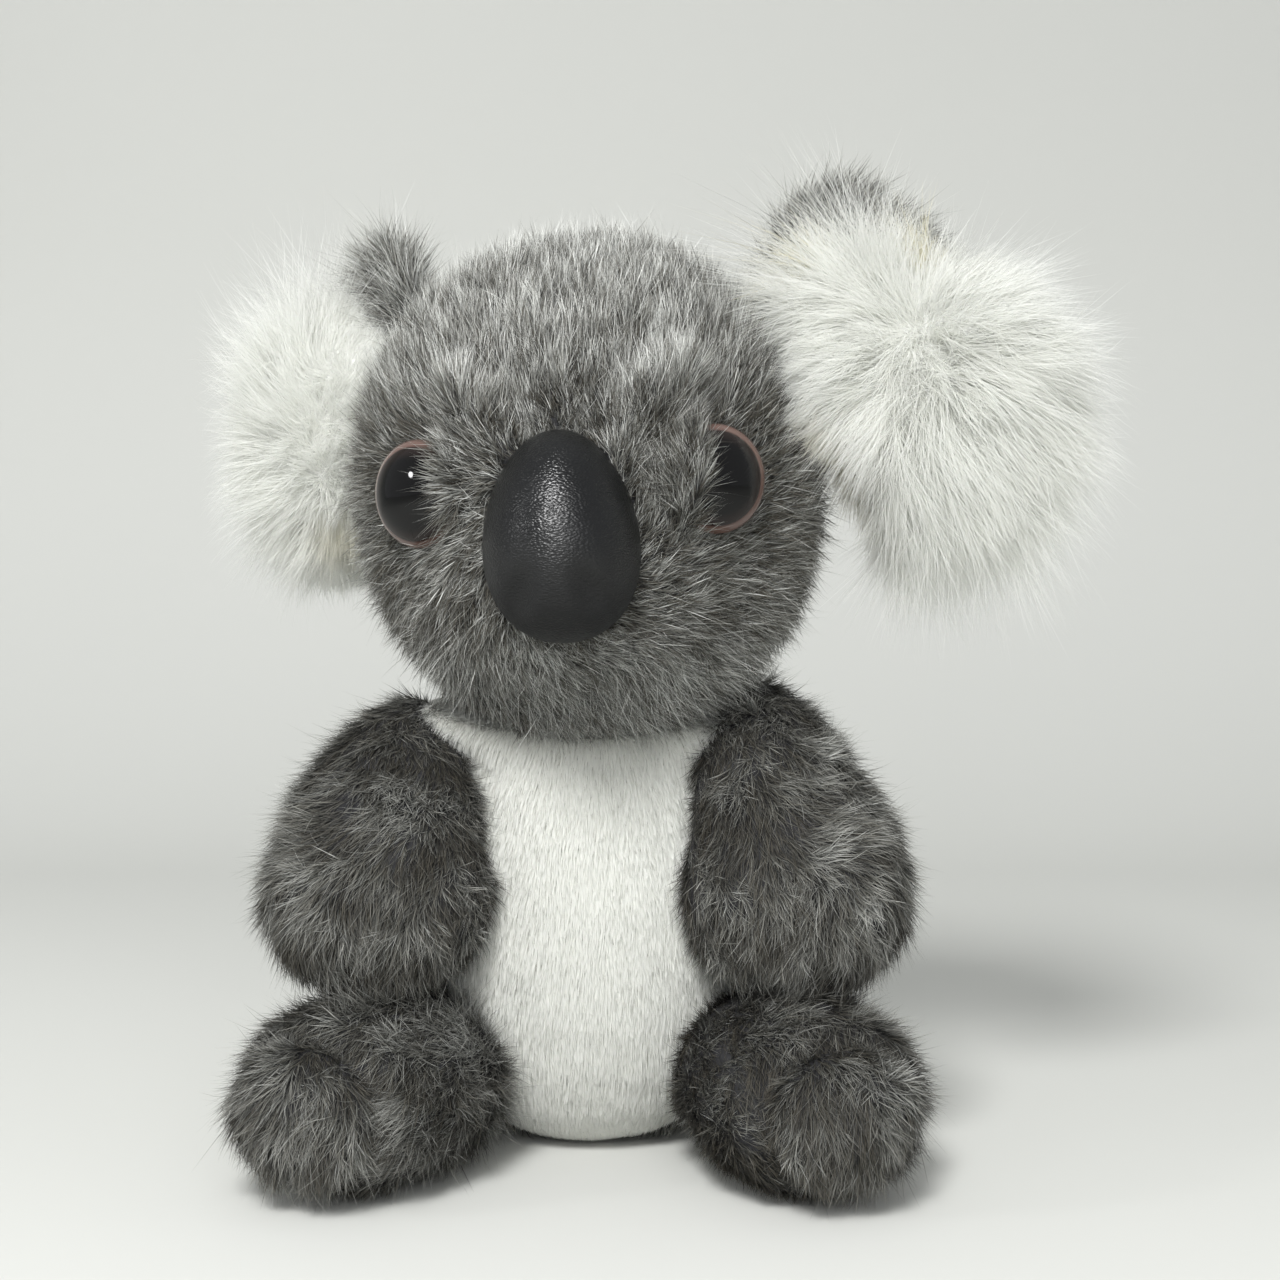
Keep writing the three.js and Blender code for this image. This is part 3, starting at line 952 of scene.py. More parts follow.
@dataclass
class EyeDome:
    """Where one eye sits, measured on its packed dome."""

    side: Side
    middle: Numbers = field(init=False)
    axis: Numbers = field(init=False)
    radius: float = field(init=False)
    low: float = field(init=False)
    high: float = field(init=False)

    RINGS = 20
    COLUMNS = 64
    ROUNDING = 0.9  # under 1, the dome is fuller near its rim than half a ball
    MAP_SHARE = 0.49  # how much of its map, on each side of the middle, the dome fills

    def __post_init__(self) -> None:
        """Measures the dome: its axis is the direction in which it is flattest."""
        points = node_points([self.node])
        axis = flattest(points)
        self.axis = axis if axis[1] < 0 else -axis
        self.middle = points.mean(0)
        heights = (points - self.middle) @ self.axis
        self.radius = float(np.linalg.norm(aside(points - self.middle, self.axis), axis=1).max())
        self.low = float(heights.min())
        self.high = float(heights.max())

    @property
    def node(self) -> str:
        """The CAD node of the dome."""
        return f"eye_{self.side.label}_dome"

    def paint_axes(self) -> tuple[Numbers, Numbers]:
        """Which way the paint's own width and height run: away from the nose, and up."""
        out = unit(np.cross(UP, self.axis))
        out = out if out[0] * self.side.value > 0 else -out
        up = np.cross(self.axis, out)
        return out, up if up[2] > 0 else -up

    def build(self, wardrobe: Wardrobe) -> None:
        """Makes the fine dome with its rolled rim and round map."""
        name = f"eye_{self.side.label}"
        height = self.high - self.low
        slant = np.linspace(0, math.pi / 2, self.RINGS + 1)[:-1, None]
        round_angle = np.linspace(0, 2 * math.pi, self.COLUMNS, endpoint=False)
        wide = self.radius * np.cos(slant) ** self.ROUNDING
        axes = (wide * np.cos(round_angle), wide * np.sin(round_angle), height * np.sin(slant))
        points = np.stack(np.broadcast_arrays(*axes), -1).reshape(-1, 3)
        points = np.concatenate([points, [[0, 0, height], [0, 0, 0]]])
        turned = np.array(Vector(UP).rotation_difference(Vector(self.axis)).to_matrix())
        points = points @ turned.T
        pairs = [(j, (j + 1) % self.COLUMNS) for j in range(self.COLUMNS)]
        starts = range(0, self.RINGS * self.COLUMNS, self.COLUMNS)
        faces = [(a + j, a + k, b + k, b + j) for a, b in zip(starts, starts[1:]) for j, k in pairs]
        top, foot = len(points) - 2, len(points) - 1
        faces += [face for j, k in pairs for face in ((starts[-1] + j, starts[-1] + k, top), (k, j, foot))]
        mesh = new_mesh(name, points + self.middle + self.axis * self.low, faces)
        marks = 0.5 + self.MAP_SHARE * (points @ np.stack(self.paint_axes(), 1)) / self.radius
        corners = [loop.vertex_index for loop in mesh.loops]
        mesh.uv_layers.new(name=STRAND_MAP).data.foreach_set("uv", marks[corners].astype(np.float32).ravel())
        mesh.materials.append(wardrobe.get(wardrobe.eye))
        piece = new_object(name, mesh)
        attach(piece, "head")
        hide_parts(self.node)


@dataclass
class Nose:
    """The moulded nose: an egg with its narrow end up, and two shallow nostrils."""

    width: float = 25.5 * MM
    depth: float = 30 * MM
    height: float = 34.5 * MM
    taper_share: float = 0.13  # how much narrower the top is, and wider the bottom
    full_share: float = 0.95  # under 1, the egg is fuller near its ends than a ball
    drop: float = 8 * MM  # how far its middle is under the head's
    proud: float = 15.5 * MM  # how far it stands out of the skin
    seat: float = 3 * MM  # how far from its middle the skin is measured for that
    lean: float = math.radians(-6)
    nostril_spread: float = 11.5 * MM
    nostril_drop: float = 10.5 * MM
    nostril_size: float = 2.6 * MM
    nostril_depth: float = 2.1 * MM
    nostril_slant: float = 0.25
    cleft: tuple[float, float] = (1.6 * MM, 0.35 * MM)  # width and depth of the furrow between the nostrils
    lip: tuple[float, float] = (1.5 * MM, 0.25 * MM)  # width and depth of the one under them

    def build(self, wardrobe: Wardrobe, head: HeadFrame, skin_front: float) -> None:
        """Makes the nose in the head's frame.

        Args:
            wardrobe: the finishes.
            head: the head's frame.
            skin_front: how far the skin lies in front of the head's middle at the nose.
        """
        ball = bmesh.new()
        bmesh.ops.create_icosphere(ball, subdivisions=6, radius=1.0)
        points = np.array([vertex.co for vertex in ball.verts])
        round_share = np.linalg.norm(points[:, :2], axis=1)
        wide = (1 - self.taper_share * points[:, 2]) * np.maximum(round_share, 0.01) ** (self.full_share - 1)
        wide /= (wide * round_share).max()
        points *= np.stack([self.width * wide, self.depth * wide, np.full(len(wide), self.height)], 1) / 2
        x, y, z = points.T
        front = rise(-y, 0, self.depth / 6)
        furrow = self.cleft[1] * hill(x, 0, self.cleft[0]) * rise(-z, self.height * 0.12, self.height * 0.4)
        furrow = furrow + self.lip[1] * hill(z, -self.height * 0.43, self.lip[0])
        for side in Side:
            across = (x - side.value * self.nostril_spread / 2) / self.nostril_size
            up = (z + self.nostril_drop) / (self.nostril_size * 1.35) + side.value * across * self.nostril_slant
            furrow = furrow + self.nostril_depth * np.exp(-((across**2 + up**2) ** 1.2))
        points[:, 1] += front * furrow
        middle_y = self.depth / 2 - skin_front - self.proud
        place = head.matrix() @ Matrix.Translation((0, middle_y, -self.drop))
        place = place @ Matrix.Rotation(self.lean, 4, "X")
        for vertex, point in zip(ball.verts, points):
            vertex.co = place @ Vector(point)
        skin = Skin.from_bmesh("nose_shell", ball)
        skin.mesh.materials.append(wardrobe.get(wardrobe.nose))
        piece = new_object("nose_shell", skin.mesh)
        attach(piece, "head")
        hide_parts("nose")


@dataclass
class Head:
    """The head: its pile radiates from the nose, and is silvery on the forehead."""

    wardrobe: Wardrobe
    place: HeadFrame = field(default_factory=HeadFrame)
    nose: Nose = field(default_factory=Nose)
    lids: dict[Side, float] = field(  # how far towards the nose each lid begins
        default_factory=lambda: {Side.LEFT: 5.4 * MM, Side.RIGHT: 8.4 * MM}
    )
    whorl: float = math.radians(24)  # how far the pile of the lower face turns round the nose

    face: Coat = Coat.of(
        Pile(
            density=8.5, length=4.6, width=0.16, lift=0.46, bend=0.3, stray=0.28,
            clump=1.6, clump_size=4.0, lock_size=1.0, lock=1.2,
            tone_spread=0.34, tone_clump=1.1, tone_patch=0.5, tone_lift=-0.06, curl=0.3,
        ),
        density=3.0, length=5.2, width=0.1, bend=0.35, stray=0.5, clump=1.8, lock_size=1.4,
        tone_spread=0.55, tone_clump=0.5, tone_patch=0.4, tone_lift=0.16, curl=0.75,
    )
    forehead: Coat = Coat(
        replace(face.under, length=4.9, stray=0.22, lock=0.9, curl=0.15),
        replace(face.over, length=5.8, stray=0.36, lock=0.9, curl=0.4),
    )
    nape: Coat = Coat.of(
        Pile(
            density=3.0, length=6.0, width=0.3, lift=0.44, bend=0.25, stray=0.24,
            clump=1.3, clump_size=4.0, lock_size=1.3, lock=0.9,
            tone_spread=0.3, tone_clump=0.85, tone_patch=0.2,
        ),
        density=1.1, length=7.0, width=0.14, lift=0.46, bend=0.3, stray=0.4, clump=1.6, clump_size=4.5,
        lock_size=1.4, tone_spread=0.5, tone_clump=0.5, tone_patch=0.0, tone_lift=0.14, curl=0.4,
    )

    # Places are in the head's own frame, as the two ends of a change or as a middle and a width
    FACE_EDGE = (4 * MM, 4.5 * MM)  # in front of this the face's pile grows
    TOP_EDGE = (5.5 * MM, 6 * MM)  # and above this the forehead's and the crown's
    TOP_SLOPE = 0.2
    COMB_SOURCE = -30 * MM  # along Y, where the face's pile runs out from
    BROW = (4 * MM, 14 * MM)  # above this the forehead's own comb sets in
    FOREHEAD_COMB = np.array([0.35, 0.6, 0.6])
    BACK_COMB = np.array([0.0, 0.2, -1.0])
    BESIDE_NOSE = ((15 * MM, 6 * MM), (-2 * MM, 9 * MM))  # where the comb turns most, across and up
    JOWL = ((12 * MM, 30 * MM), (0, 20 * MM))  # and on the right jowl, outwards and down
    WHIRLS = (  # places across and up, reaches and turns
        (-12 * MM, -33 * MM, 10 * MM, 1.2),
        (13 * MM, -30 * MM, 8 * MM, -0.9),
    )
    FOREHEAD = (6 * MM, 20 * MM)
    CHIN = (18 * MM, 30 * MM)
    FRONT = (10 * MM, 25 * MM)
    CLEFT = (1.5 * MM, (24 * MM, 28 * MM))  # the dark line under the nose: its width, and where it starts
    NOSE_TIP = -42 * MM  # along Y
    SEAT = (12.5 * MM, 17 * MM, 0.22)  # the bare patch under the nose: half its width and height, and its taper
    LID_EDGE = 2 * MM
    FRINGE = ((3 * MM, 7 * MM), (4 * MM, 9 * MM))  # longer pile at an eye: towards the nose, and off the rim
    HOLLOW = ((-2 * MM, 4 * MM), (1.05, 1.7))  # shorter pile outside, darkened with painted shade: from the middle, and in radii

    def build(self) -> None:
        """Makes the head's skin, pile, eyes and nose."""
        form = StuffedForm("head", "head", ("head_cover", "head_filling"), self.wardrobe, detail=6, passes=14)
        skin = form.make_skin()
        eyes = [EyeDome(side) for side in Side]
        own = self.place.own(skin.points)
        x, y, z = own.T
        near_nose = (np.abs(x) < self.nose.seat) & (np.abs(z + self.nose.drop) < self.nose.seat) & (y < 0)
        skin_front = -float(y[near_nose].min())
        self._comb(skin, own)
        self._tone(skin, own)
        self._trim(skin, own, eyes)
        skin.bare_near(["torso_back", "torso_belly", "torso_filling"], SEWN_REACH)
        form.finish_skin(skin, self.wardrobe.backing)
        front = rise(-y, *self.FACE_EDGE)
        top = rise(z + y * self.TOP_SLOPE, *self.TOP_EDGE)
        parts = (
            ("head_pile_forehead", self.forehead, front * top, 101),
            ("head_pile_face", self.face, front * (1 - top), 102),
            ("head_pile_crown", self.nape, (1 - front) * top, 103),
            ("head_pile_nape", self.nape, (1 - front) * (1 - top), 104),
        )
        for name, coat, mask, seed in parts:
            form.grow(name, skin, coat, self.wardrobe.grey, "grey_plush", seed, mask)
        for eye in eyes:
            eye.build(self.wardrobe)
        self.nose.build(self.wardrobe, self.place, skin_front)

    def _comb(self, skin: Skin, own: Numbers) -> None:
        """Combs the head: outwards from the nose in front, and down behind."""
        x, y, z = own.T
        comb = unit(own - np.array([0.0, self.COMB_SOURCE, -self.nose.drop - 1 * MM]))
        brow = rise(z, *self.BROW)
        turn = self.whorl * (1 - brow) * rise(-y, 2 * MM, 16 * MM)
        beside = hill(x, *self.BESIDE_NOSE[0]) * hill(z, *self.BESIDE_NOSE[1])
        jowl = rise(-x, *self.JOWL[0]) * rise(-z, *self.JOWL[1])
        turn = turn * (1 + 1.5 * beside + 1.5 * jowl)
        across = comb[:, 0] * np.cos(turn) - comb[:, 2] * np.sin(turn)
        comb[:, 2] = comb[:, 2] * np.cos(turn) + comb[:, 0] * np.sin(turn)
        comb[:, 0] = across
        for share, other in (
            (brow, comb * self.FOREHEAD_COMB + 0.5 * UP),
            (rise(y, -5 * MM, 22 * MM), self.BACK_COMB),
        ):
            comb = comb * (1 - share[:, None]) + other * share[:, None]
        comb[:, 2] -= 0.45 * rise(np.abs(x), 16 * MM, 34 * MM) * rise(-z, -16 * MM, 8 * MM)
        skin.comb = along(self.place.whole(comb), skin.normals)
        for across, up, reach, turn in self.WHIRLS:
            skin.swirl(self._spot(skin, own, across, up), reach, turn)

    def _spot(self, skin: Skin, own: Numbers, across: float, up: float) -> Numbers:
        """The place on the front of the skin at a distance across and up from the head's middle."""
        away = np.hypot(own[:, 0] - across, own[:, 2] - up) + np.where(own[:, 1] < 0, 0.0, 1.0)
        return skin.points[int(away.argmin())]

    def _tone(self, skin: Skin, own: Numbers) -> None:
        """Lightens the forehead and darkens the brow and the eyes' hollows."""
        x, y, z = own.T
        forehead = rise(z, *self.FOREHEAD)
        shade = 0.39 + 0.11 * forehead + 0.25 * rise(-z, *self.CHIN)
        shade = shade - 0.06 * rise(-x, 8 * MM, 20 * MM) * (1 - forehead)
        front = rise(-y, *self.FRONT)
        brow = hill(z, 7 * MM, 6 * MM) * front
        cleft = hill(x, 0, self.CLEFT[0]) * rise(-z, *self.CLEFT[1]) * front
        skin.shade = shade - 0.04 * brow - 0.05 * rise(np.abs(x), 24 * MM, 36 * MM) - 0.22 * cleft

    def _trim(self, skin: Skin, own: Numbers, eyes: Sequence[EyeDome]) -> None:
        """Sets how long the pile is, clears the nose and the eyes, and grows it over the eyes' inner halves."""
        x, y, z = own.T
        nose_tip = np.array([0.0, self.NOSE_TIP, -self.nose.drop])
        reach = np.linalg.norm((own - nose_tip) / np.array([0.8, 1.0, 1.0]), axis=1)
        skin.length = 0.55 + 0.45 * rise(reach, 14 * MM, 32 * MM)
        skin.lift = 0.85 + 0.15 * rise(y, -22 * MM, 0)
        half_width, half_height, taper = self.SEAT
        level = (z + self.nose.drop) / half_height
        bare = np.hypot(x / (half_width * (1 - taper * np.clip(level, -1, 1))), level)
        skin.thick = np.where((bare < 0.84) & (y < 0), 0.0, 1.0)
        for eye in eyes:
            self._open_eye(skin, own, eye)
        skin.comb = along(skin.comb, skin.normals)

    def _open_eye(self, skin: Skin, own: Numbers, eye: EyeDome) -> None:
        """Clears one eye, and lifts the skin over its inner part as a lid.

        Args:
            skin: the head's skin.
            own: its corners in the head's frame.
            eye: the eye.
        """
        offset = skin.points - eye.middle
        ring = np.linalg.norm(aside(offset, eye.axis), axis=1) / eye.radius
        close = np.linalg.norm(offset, axis=1) < 2.4 * eye.radius
        inward = (own[:, 0] - self.place.own(eye.middle[None])[0, 0]) * -eye.side.value
        gap = np.maximum(ring - 1, 0) * eye.radius
        start = self.lids[eye.side]
        lid = rise(inward, start, start + self.LID_EDGE) * close
        inner = rise(inward, *self.FRINGE[0]) * np.where(close, 1 - rise(gap, *self.FRINGE[1]), 0.0)
        outer = (1 - rise(inward, *self.HOLLOW[0])) * np.where(close, 1 - rise(ring, *self.HOLLOW[1]), 0.0)
        skin.thick = np.where(close & (ring < 0.86) & (lid < 0.5), 0.0, skin.thick * (1 + 0.5 * inner))
        skin.length = skin.length * (1 - 0.6 * outer) * (1 - inner) + 0.85 * inner
        skin.lift = skin.lift * (1 - 0.2 * inner)
        # painted shade in the hollow outside each eye
        skin.shade = skin.shade - 0.14 * outer + 0.03 * inner
        dome = 1.1 * (eye.high - eye.low) * np.sqrt(np.maximum(0, 1 - (ring / 1.25) ** 2))
        sunk = dome - (offset @ eye.axis - eye.low)
        skin.move(eye.axis * (lid * np.maximum(0, sunk))[:, None])


@dataclass
class Torso:
    """The torso: grey behind, and a short white pile in front."""

    wardrobe: Wardrobe
    corner_height: float = 80 * MM  # where the chest's corners lie under the head
    collar: tuple[float, float] = (8.5 * MM, 5.5 * MM)  # how far they reach out and forwards

    back: Coat = Coat.of(
        Pile(
            density=2.5, length=5.4, width=0.33, lift=0.3, bend=0.3, stray=0.24,
            clump=1.6, clump_size=5.0, lock_size=1.5, lock=0.9,
            tone_spread=0.26, tone_clump=0.5, tone_patch=0.25,
        ),
        density=0.9, length=6.4, width=0.15, lift=0.32, stray=0.4,
        tone_spread=0.4, tone_clump=0.3, tone_patch=0.0, tone_lift=0.12, curl=0.4,
    )
    belly: Coat = Coat.of(
        Pile(
            density=8.6, length=2.4, width=0.3, lift=0.3, bend=0.25, stray=0.08,
            clump=0.3, clump_size=6.0, lock_size=2.5, lock=0.0,
            tone_spread=0.04, tone_clump=0.0, tone_patch=0.06, tone_lift=0.1, curl=0.04,
        ),
        density=1.4, length=3.0, width=0.11, lift=0.32, stray=0.14, lock=0.1,
        tone_spread=0.06, tone_patch=0.0, curl=0.12,
    )

    def build(self) -> None:
        """Makes the torso's skin and its two piles."""
        nodes = ("torso_back", "torso_belly", "torso_filling")
        form = StuffedForm("torso", "torso", nodes, self.wardrobe, detail=6, passes=4)
        skin = form.make_skin()
        x, y, z = skin.points.T
        corner = hill(z, self.corner_height, 6 * MM) * rise(np.abs(x), 9 * MM, 20 * MM)
        corner = corner * rise(-y, -6 * MM, 8 * MM)
        corner = (corner * (1 + 0.35 * rise(x, 0, 9 * MM)))[:, None]
        skin.move(corner * np.stack([np.sign(x) * self.collar[0], np.full(len(x), -self.collar[1]), 0 * x], 1))
        x, y, z = skin.points.T
        skin.bare_near(["head_cover", "head_filling"], SEWN_REACH)
        for side in Side:
            skin.bare_near([f"arm_{side.label}_cover", f"leg_{side.label}_cover"], REST_REACH)
        skin.thick *= rise(z, *FLOOR_EDGE)
        skin.shade[:] = 0.46
        skin.length *= 1 - 0.4 * (1 - rise(z, 2 * MM, 12 * MM))
        backing = self.wardrobe.torso_backing
        front = rise(backing.edge + backing.collar * rise(z, *backing.NECK) - y, -0.3 * MM, 0.3 * MM)
        form.finish_skin(skin, backing)
        form.grow("torso_pile_back", skin, self.back, self.wardrobe.grey, "grey_plush", 201, 1 - front)
        skin.shade[:] = 0.85
        form.grow("torso_pile_belly", skin, self.belly, self.wardrobe.white, "white_plush", 202, front)


class Kind(Enum):
    """The kinds of limb, with the word that their joints' names start with."""

    ARM = "shoulder"
    LEG = "hip"


@dataclass
class Limb:
    """An arm or a leg: its pile runs from the joint to the paw, and hangs down over its end."""

    wardrobe: Wardrobe
    kind: Kind
    side: Side
    shade: float
    inner_length: float  # how long the pile is on the side that faces the other limb, as a share of the rest
    inner_shade: float  # how much paler it is there, as painted light where positive and painted shade where negative, for how that side is lit
    draw: tuple[float, float] = (0.0, 0.0)  # how far the top is drawn inwards and up to the neck, in metres

    groove: float = 3 * MM  # how deep the seam round a sole is
    sole: float = 10 * MM  # how far from the leg's end it runs
    swell: float = 1.8 * MM  # how far an arm's skin swells outside
    sleeve: tuple[float, float] = (22 * MM, 3 * MM)  # how far under an arm's top the draw starts and is full
    paw: float = 9 * MM  # how far the whirl on a paw spreads
    coat: Coat = Coat.of(
        Pile(
            density=6.8, length=4.4, width=0.16, lift=0.24, bend=0.25, stray=0.24,
            clump=2.2, clump_size=7.0, lock_size=1.6, lock=1.1,
            tone_spread=0.14, tone_clump=0.34, tone_patch=0.7, curl=0.35,
        ),
        density=1.8, length=5.0, width=0.09, lift=0.28, bend=0.2, stray=0.36, clump=2.0, lock_size=1.8,
        lock=1.0, tone_spread=0.3, tone_clump=0.3, tone_patch=0.5, tone_lift=0.08, curl=0.7,
    )

    def build(self) -> None:
        """Makes the limb's skin and pile."""
        name = f"{self.kind.name.lower()}_{self.side.label}"
        form = StuffedForm(name, name, (f"{name}_cover", f"{name}_filling"), self.wardrobe)
        skin = form.make_skin()
        root = joint_place(f"{self.kind.value}_{self.side.label}")
        axis = unit(skin.middle - root)
        run = (skin.points - skin.middle) @ axis
        end = rise(run, 0.25 * run.max(), 0.9 * run.max())[:, None]
        comb = axis * (1 - end) + (axis * 0.2 - UP) * end
        skin.comb = 0.8 * along(comb, skin.normals)
        inner = rise(-skin.normals[:, 0] * self.side.value, 0.15, 0.7)
        # the part near the joint is made paler in the next line: painted light on the tops by the shoulders and
        # hips
        start = 1 - rise(run, run.min(), 0.5 * run.min())
        # painted light and shade on the side facing the other limb, paler or darker for how it is lit
        skin.shade = self.shade + self.inner_shade * inner + 0.16 * start
        skin.length = 1 - (1 - self.inner_length) * inner
        if self.kind is Kind.LEG:
            self._sew_sole(skin, run)
            skin.thick *= rise(skin.points[:, 2], *FLOOR_EDGE)
            skin.length *= 0.45 + 0.55 * rise(skin.points[:, 2], 1 * MM, 7 * MM)
        else:
            outer = rise(skin.normals[:, 0] * self.side.value, 0.1, 0.8)
            skin.length *= 1 - 0.4 * inner * start
            skin.move(skin.normals * (self.swell * (outer - 1.7 * inner * start))[:, None])
            self._whirl_paw(skin, run)
            top = rise(skin.points[:, 2], *(skin.points[:, 2].max() - np.array(self.sleeve)))
            skin.move(top[:, None] * np.array([-self.side.value * self.draw[0], 0.0, self.draw[1]]))
        skin.bare_near(["torso_back", "torso_belly"], REST_REACH)
        form.finish_skin(skin, self.wardrobe.backing)
        form.grow(f"{name}_pile", skin, self.coat, self.wardrobe.grey, "grey_plush", 303 + 10 * self.side.value)

    def _sew_sole(self, skin: Skin, run: Numbers) -> None:
        """Draws the seam round the sole in, and darkens it with painted shade."""
        seam = hill(run, run.max() - self.sole, 2.4 * MM)
        skin.move(-skin.normals * (seam * self.groove)[:, None])
        # painted shade in the seam's groove
        skin.shade -= 0.26 * seam
        skin.length *= 1 - 0.5 * seam

    def _whirl_paw(self, skin: Skin, run: Numbers) -> None:
        """Turns the pile in a whirl on the front of the paw."""
        front = skin.points[:, 1] + np.abs(run - 0.3 * run.max())
        outwards = skin.points[:, 0] * self.side.value
        centre = skin.points[int((front - 0.35 * outwards).argmin())]
        skin.swirl(centre, self.paw, 1.5 * self.side.value)


@dataclass
class Ear:
    """An ear: a grey back with short pile, and very long white pile that radiates in front."""

    wardrobe: Wardrobe
    side: Side
    hang: float  # length of the pile along the ear's lower edge, as a share of the rest
    crest: float  # its length along the upper edge
    corner: float  # its length there, beside the head
    rim: float  # its length on the grey back
    whorl: tuple[float, float]  # where the white radiates from: towards the head and up from the middle
    pull: float  # how far the tuft is drawn in below, beside the head, in metres
    shade: float  # how pale the grey back is
    peak: float = 0.0  # how much higher the top is beside the head, in metres
    specks: tuple[tuple[float, float], ...] = ()  # places along X, and widths, of yellow spots on top

    tuft: Coat = Coat.of(
        Pile(
            density=7.0, length=8.5, width=0.19, lift=0.46, bend=0.35, stray=0.3,
            clump=2.4, clump_size=8.0, lock_size=2.6, lock=1.1,
            tone_spread=0.1, tone_clump=0.15, tone_patch=0.1, sag=0.1,
        ),
        density=5.4, length=13.5, width=0.12, lift=0.4, stray=0.24, clump=3.0, clump_size=9.0,
        lock=1.5, sag=0.16, curl=0.3,
    )
    back: Coat = Coat.of(
        Pile(
            density=4.9, length=5.6, width=0.2, lift=0.5, bend=0.3, stray=0.3,
            clump=1.6, clump_size=4.0, lock_size=1.3, lock=1.0,
            tone_spread=0.3, tone_clump=0.6, tone_patch=0.5, curl=0.3,
        ),
        density=2.4, length=6.4, width=0.12, stray=0.45, clump_size=4.5, lock_size=1.4,
        tone_spread=0.4, tone_clump=0.4, tone_patch=0.4, tone_lift=0.2, curl=0.6,
    )

    # The two ends of each change, from the tuft's middle or from its whorl
    NEAR = (0, 14 * MM)  # towards the head
    TUCK = ((-6 * MM, 16 * MM), (-2 * MM, 18 * MM))  # where the tuft is drawn in: towards the head, and down
    RISE = ((-6 * MM, 12 * MM), (4 * MM, 22 * MM))  # where the top is higher: towards the head, and up
    TOP = (2 * MM, 12 * MM)
    LOW = (10 * MM, 26 * MM)
    YELLOW = (2 * MM, 16 * MM)  # how far down the pile gets yellowish beside the head
    REACH = 1.3  # how far the longest strands reach, as a share of the pile's length

    @property
    def body(self) -> str:
        """The body that the ear rides on."""
        return f"ear_{self.side.label}"

    def build(self) -> None:
        """Makes both halves of the ear."""
        seam = joint_place(f"{self.body}_seam")
        self._build_tuft(seam)
        self._build_back(seam)

    def _build_tuft(self, seam: Numbers) -> None:
        """Makes the white half, whose pile gets shorter towards the top rim."""
        node = f"{self.body}_tuft"
        form = StuffedForm(node, self.body, (node,), self.wardrobe)
        skin = form.make_skin()
        middle = skin.middle
        away = self._away(middle, seam)
        offset = skin.points - middle
        near = rise(-(offset @ away), *self.NEAR)
        tucked = rise(-(offset @ away), *self.TUCK[0]) * rise(-offset[:, 2], *self.TUCK[1])
        outwards = unit(aside(offset, flattest(skin.points)))
        skin.move(-outwards * (self.pull * tucked)[:, None])
        self._raise_peak(skin, middle, away, 0.5)
        offset = skin.points - middle + away * self.whorl[0] - UP * self.whorl[1]
        skin.comb = along(unit(offset), skin.normals)
        skin.bare_near([f"{self.body}_back"], REST_REACH)
        skin.bare_near(["head_cover"], EAR_REACH)
        distance = np.linalg.norm(offset, axis=1)
        top = rise(offset[:, 2], *self.TOP)
        low = rise(-offset[:, 2], *self.LOW)
        crest = self.crest * (1 - near) + self.corner * near
        skin.length = (0.85 + 0.15 * rise(distance, 8 * MM, 24 * MM)) * (1 + (crest - 1) * top)
        skin.length *= (1 - (1 - self.hang) * low) * (1 - 0.6 * near * (1 - top))
        skin.keep_within(self.wardrobe.box, self.tuft.over.length * MM * self.REACH)
        skin.lift = 1.6 - 0.6 * rise(distance, 8 * MM, 22 * MM)
        across = np.linalg.norm(np.cross(unit(offset), skin.normals), axis=1)
        skin.comb *= (rise(distance, 0, 15 * MM) * rise(across, 0, 0.2))[:, None]
        skin.shade = 0.74 - 0.5 * near * rise(-offset[:, 2], *self.YELLOW)
        for place, width in self.specks:
            spot = np.abs(skin.points[:, 0] - place) < width
            spot &= skin.points[:, 2] > skin.points[spot, 2].max() - 2 * width
            skin.shade[spot] = 0.0
        form.finish_skin(skin, self.wardrobe.ear_backing)
        form.grow(f"{node}_pile", skin, self.tuft, self.wardrobe.white, "white_plush", 500 + self.side.value)

    def _build_back(self, seam: Numbers) -> None:
        """Makes the grey half."""
        node = f"{self.body}_back"
        form = StuffedForm(node, self.body, (node,), self.wardrobe)
        skin = form.make_skin()
        self._raise_peak(skin, skin.middle, self._away(skin.middle, seam), 1.0)
        skin.comb = along(unit(skin.points - seam), skin.normals)
        skin.bare_near([f"{self.body}_tuft"], REST_REACH)
        skin.bare_near(["head_cover"], EAR_REACH)
        skin.shade[:] = self.shade
        skin.length[:] = self.rim
        form.finish_skin(skin, self.wardrobe.backing)
        form.grow(f"{node}_pile", skin, self.back, self.wardrobe.grey, "grey_plush", 520 + self.side.value)

    @staticmethod
    def _away(middle: Numbers, seam: Numbers) -> Numbers:
        """The level direction from the seam to the middle of one half."""
        return unit((middle - seam) * (1.0, 1.0, 0.0))

    def _raise_peak(self, skin: Skin, middle: Numbers, away: Numbers, share: float) -> None:
        """Raises the top of a skin beside the head."""
        offset = skin.points - middle
        near = rise(-(offset @ away), *self.RISE[0]) * rise(offset[:, 2], *self.RISE[1])
        skin.move(UP * (share * self.peak * near)[:, None])


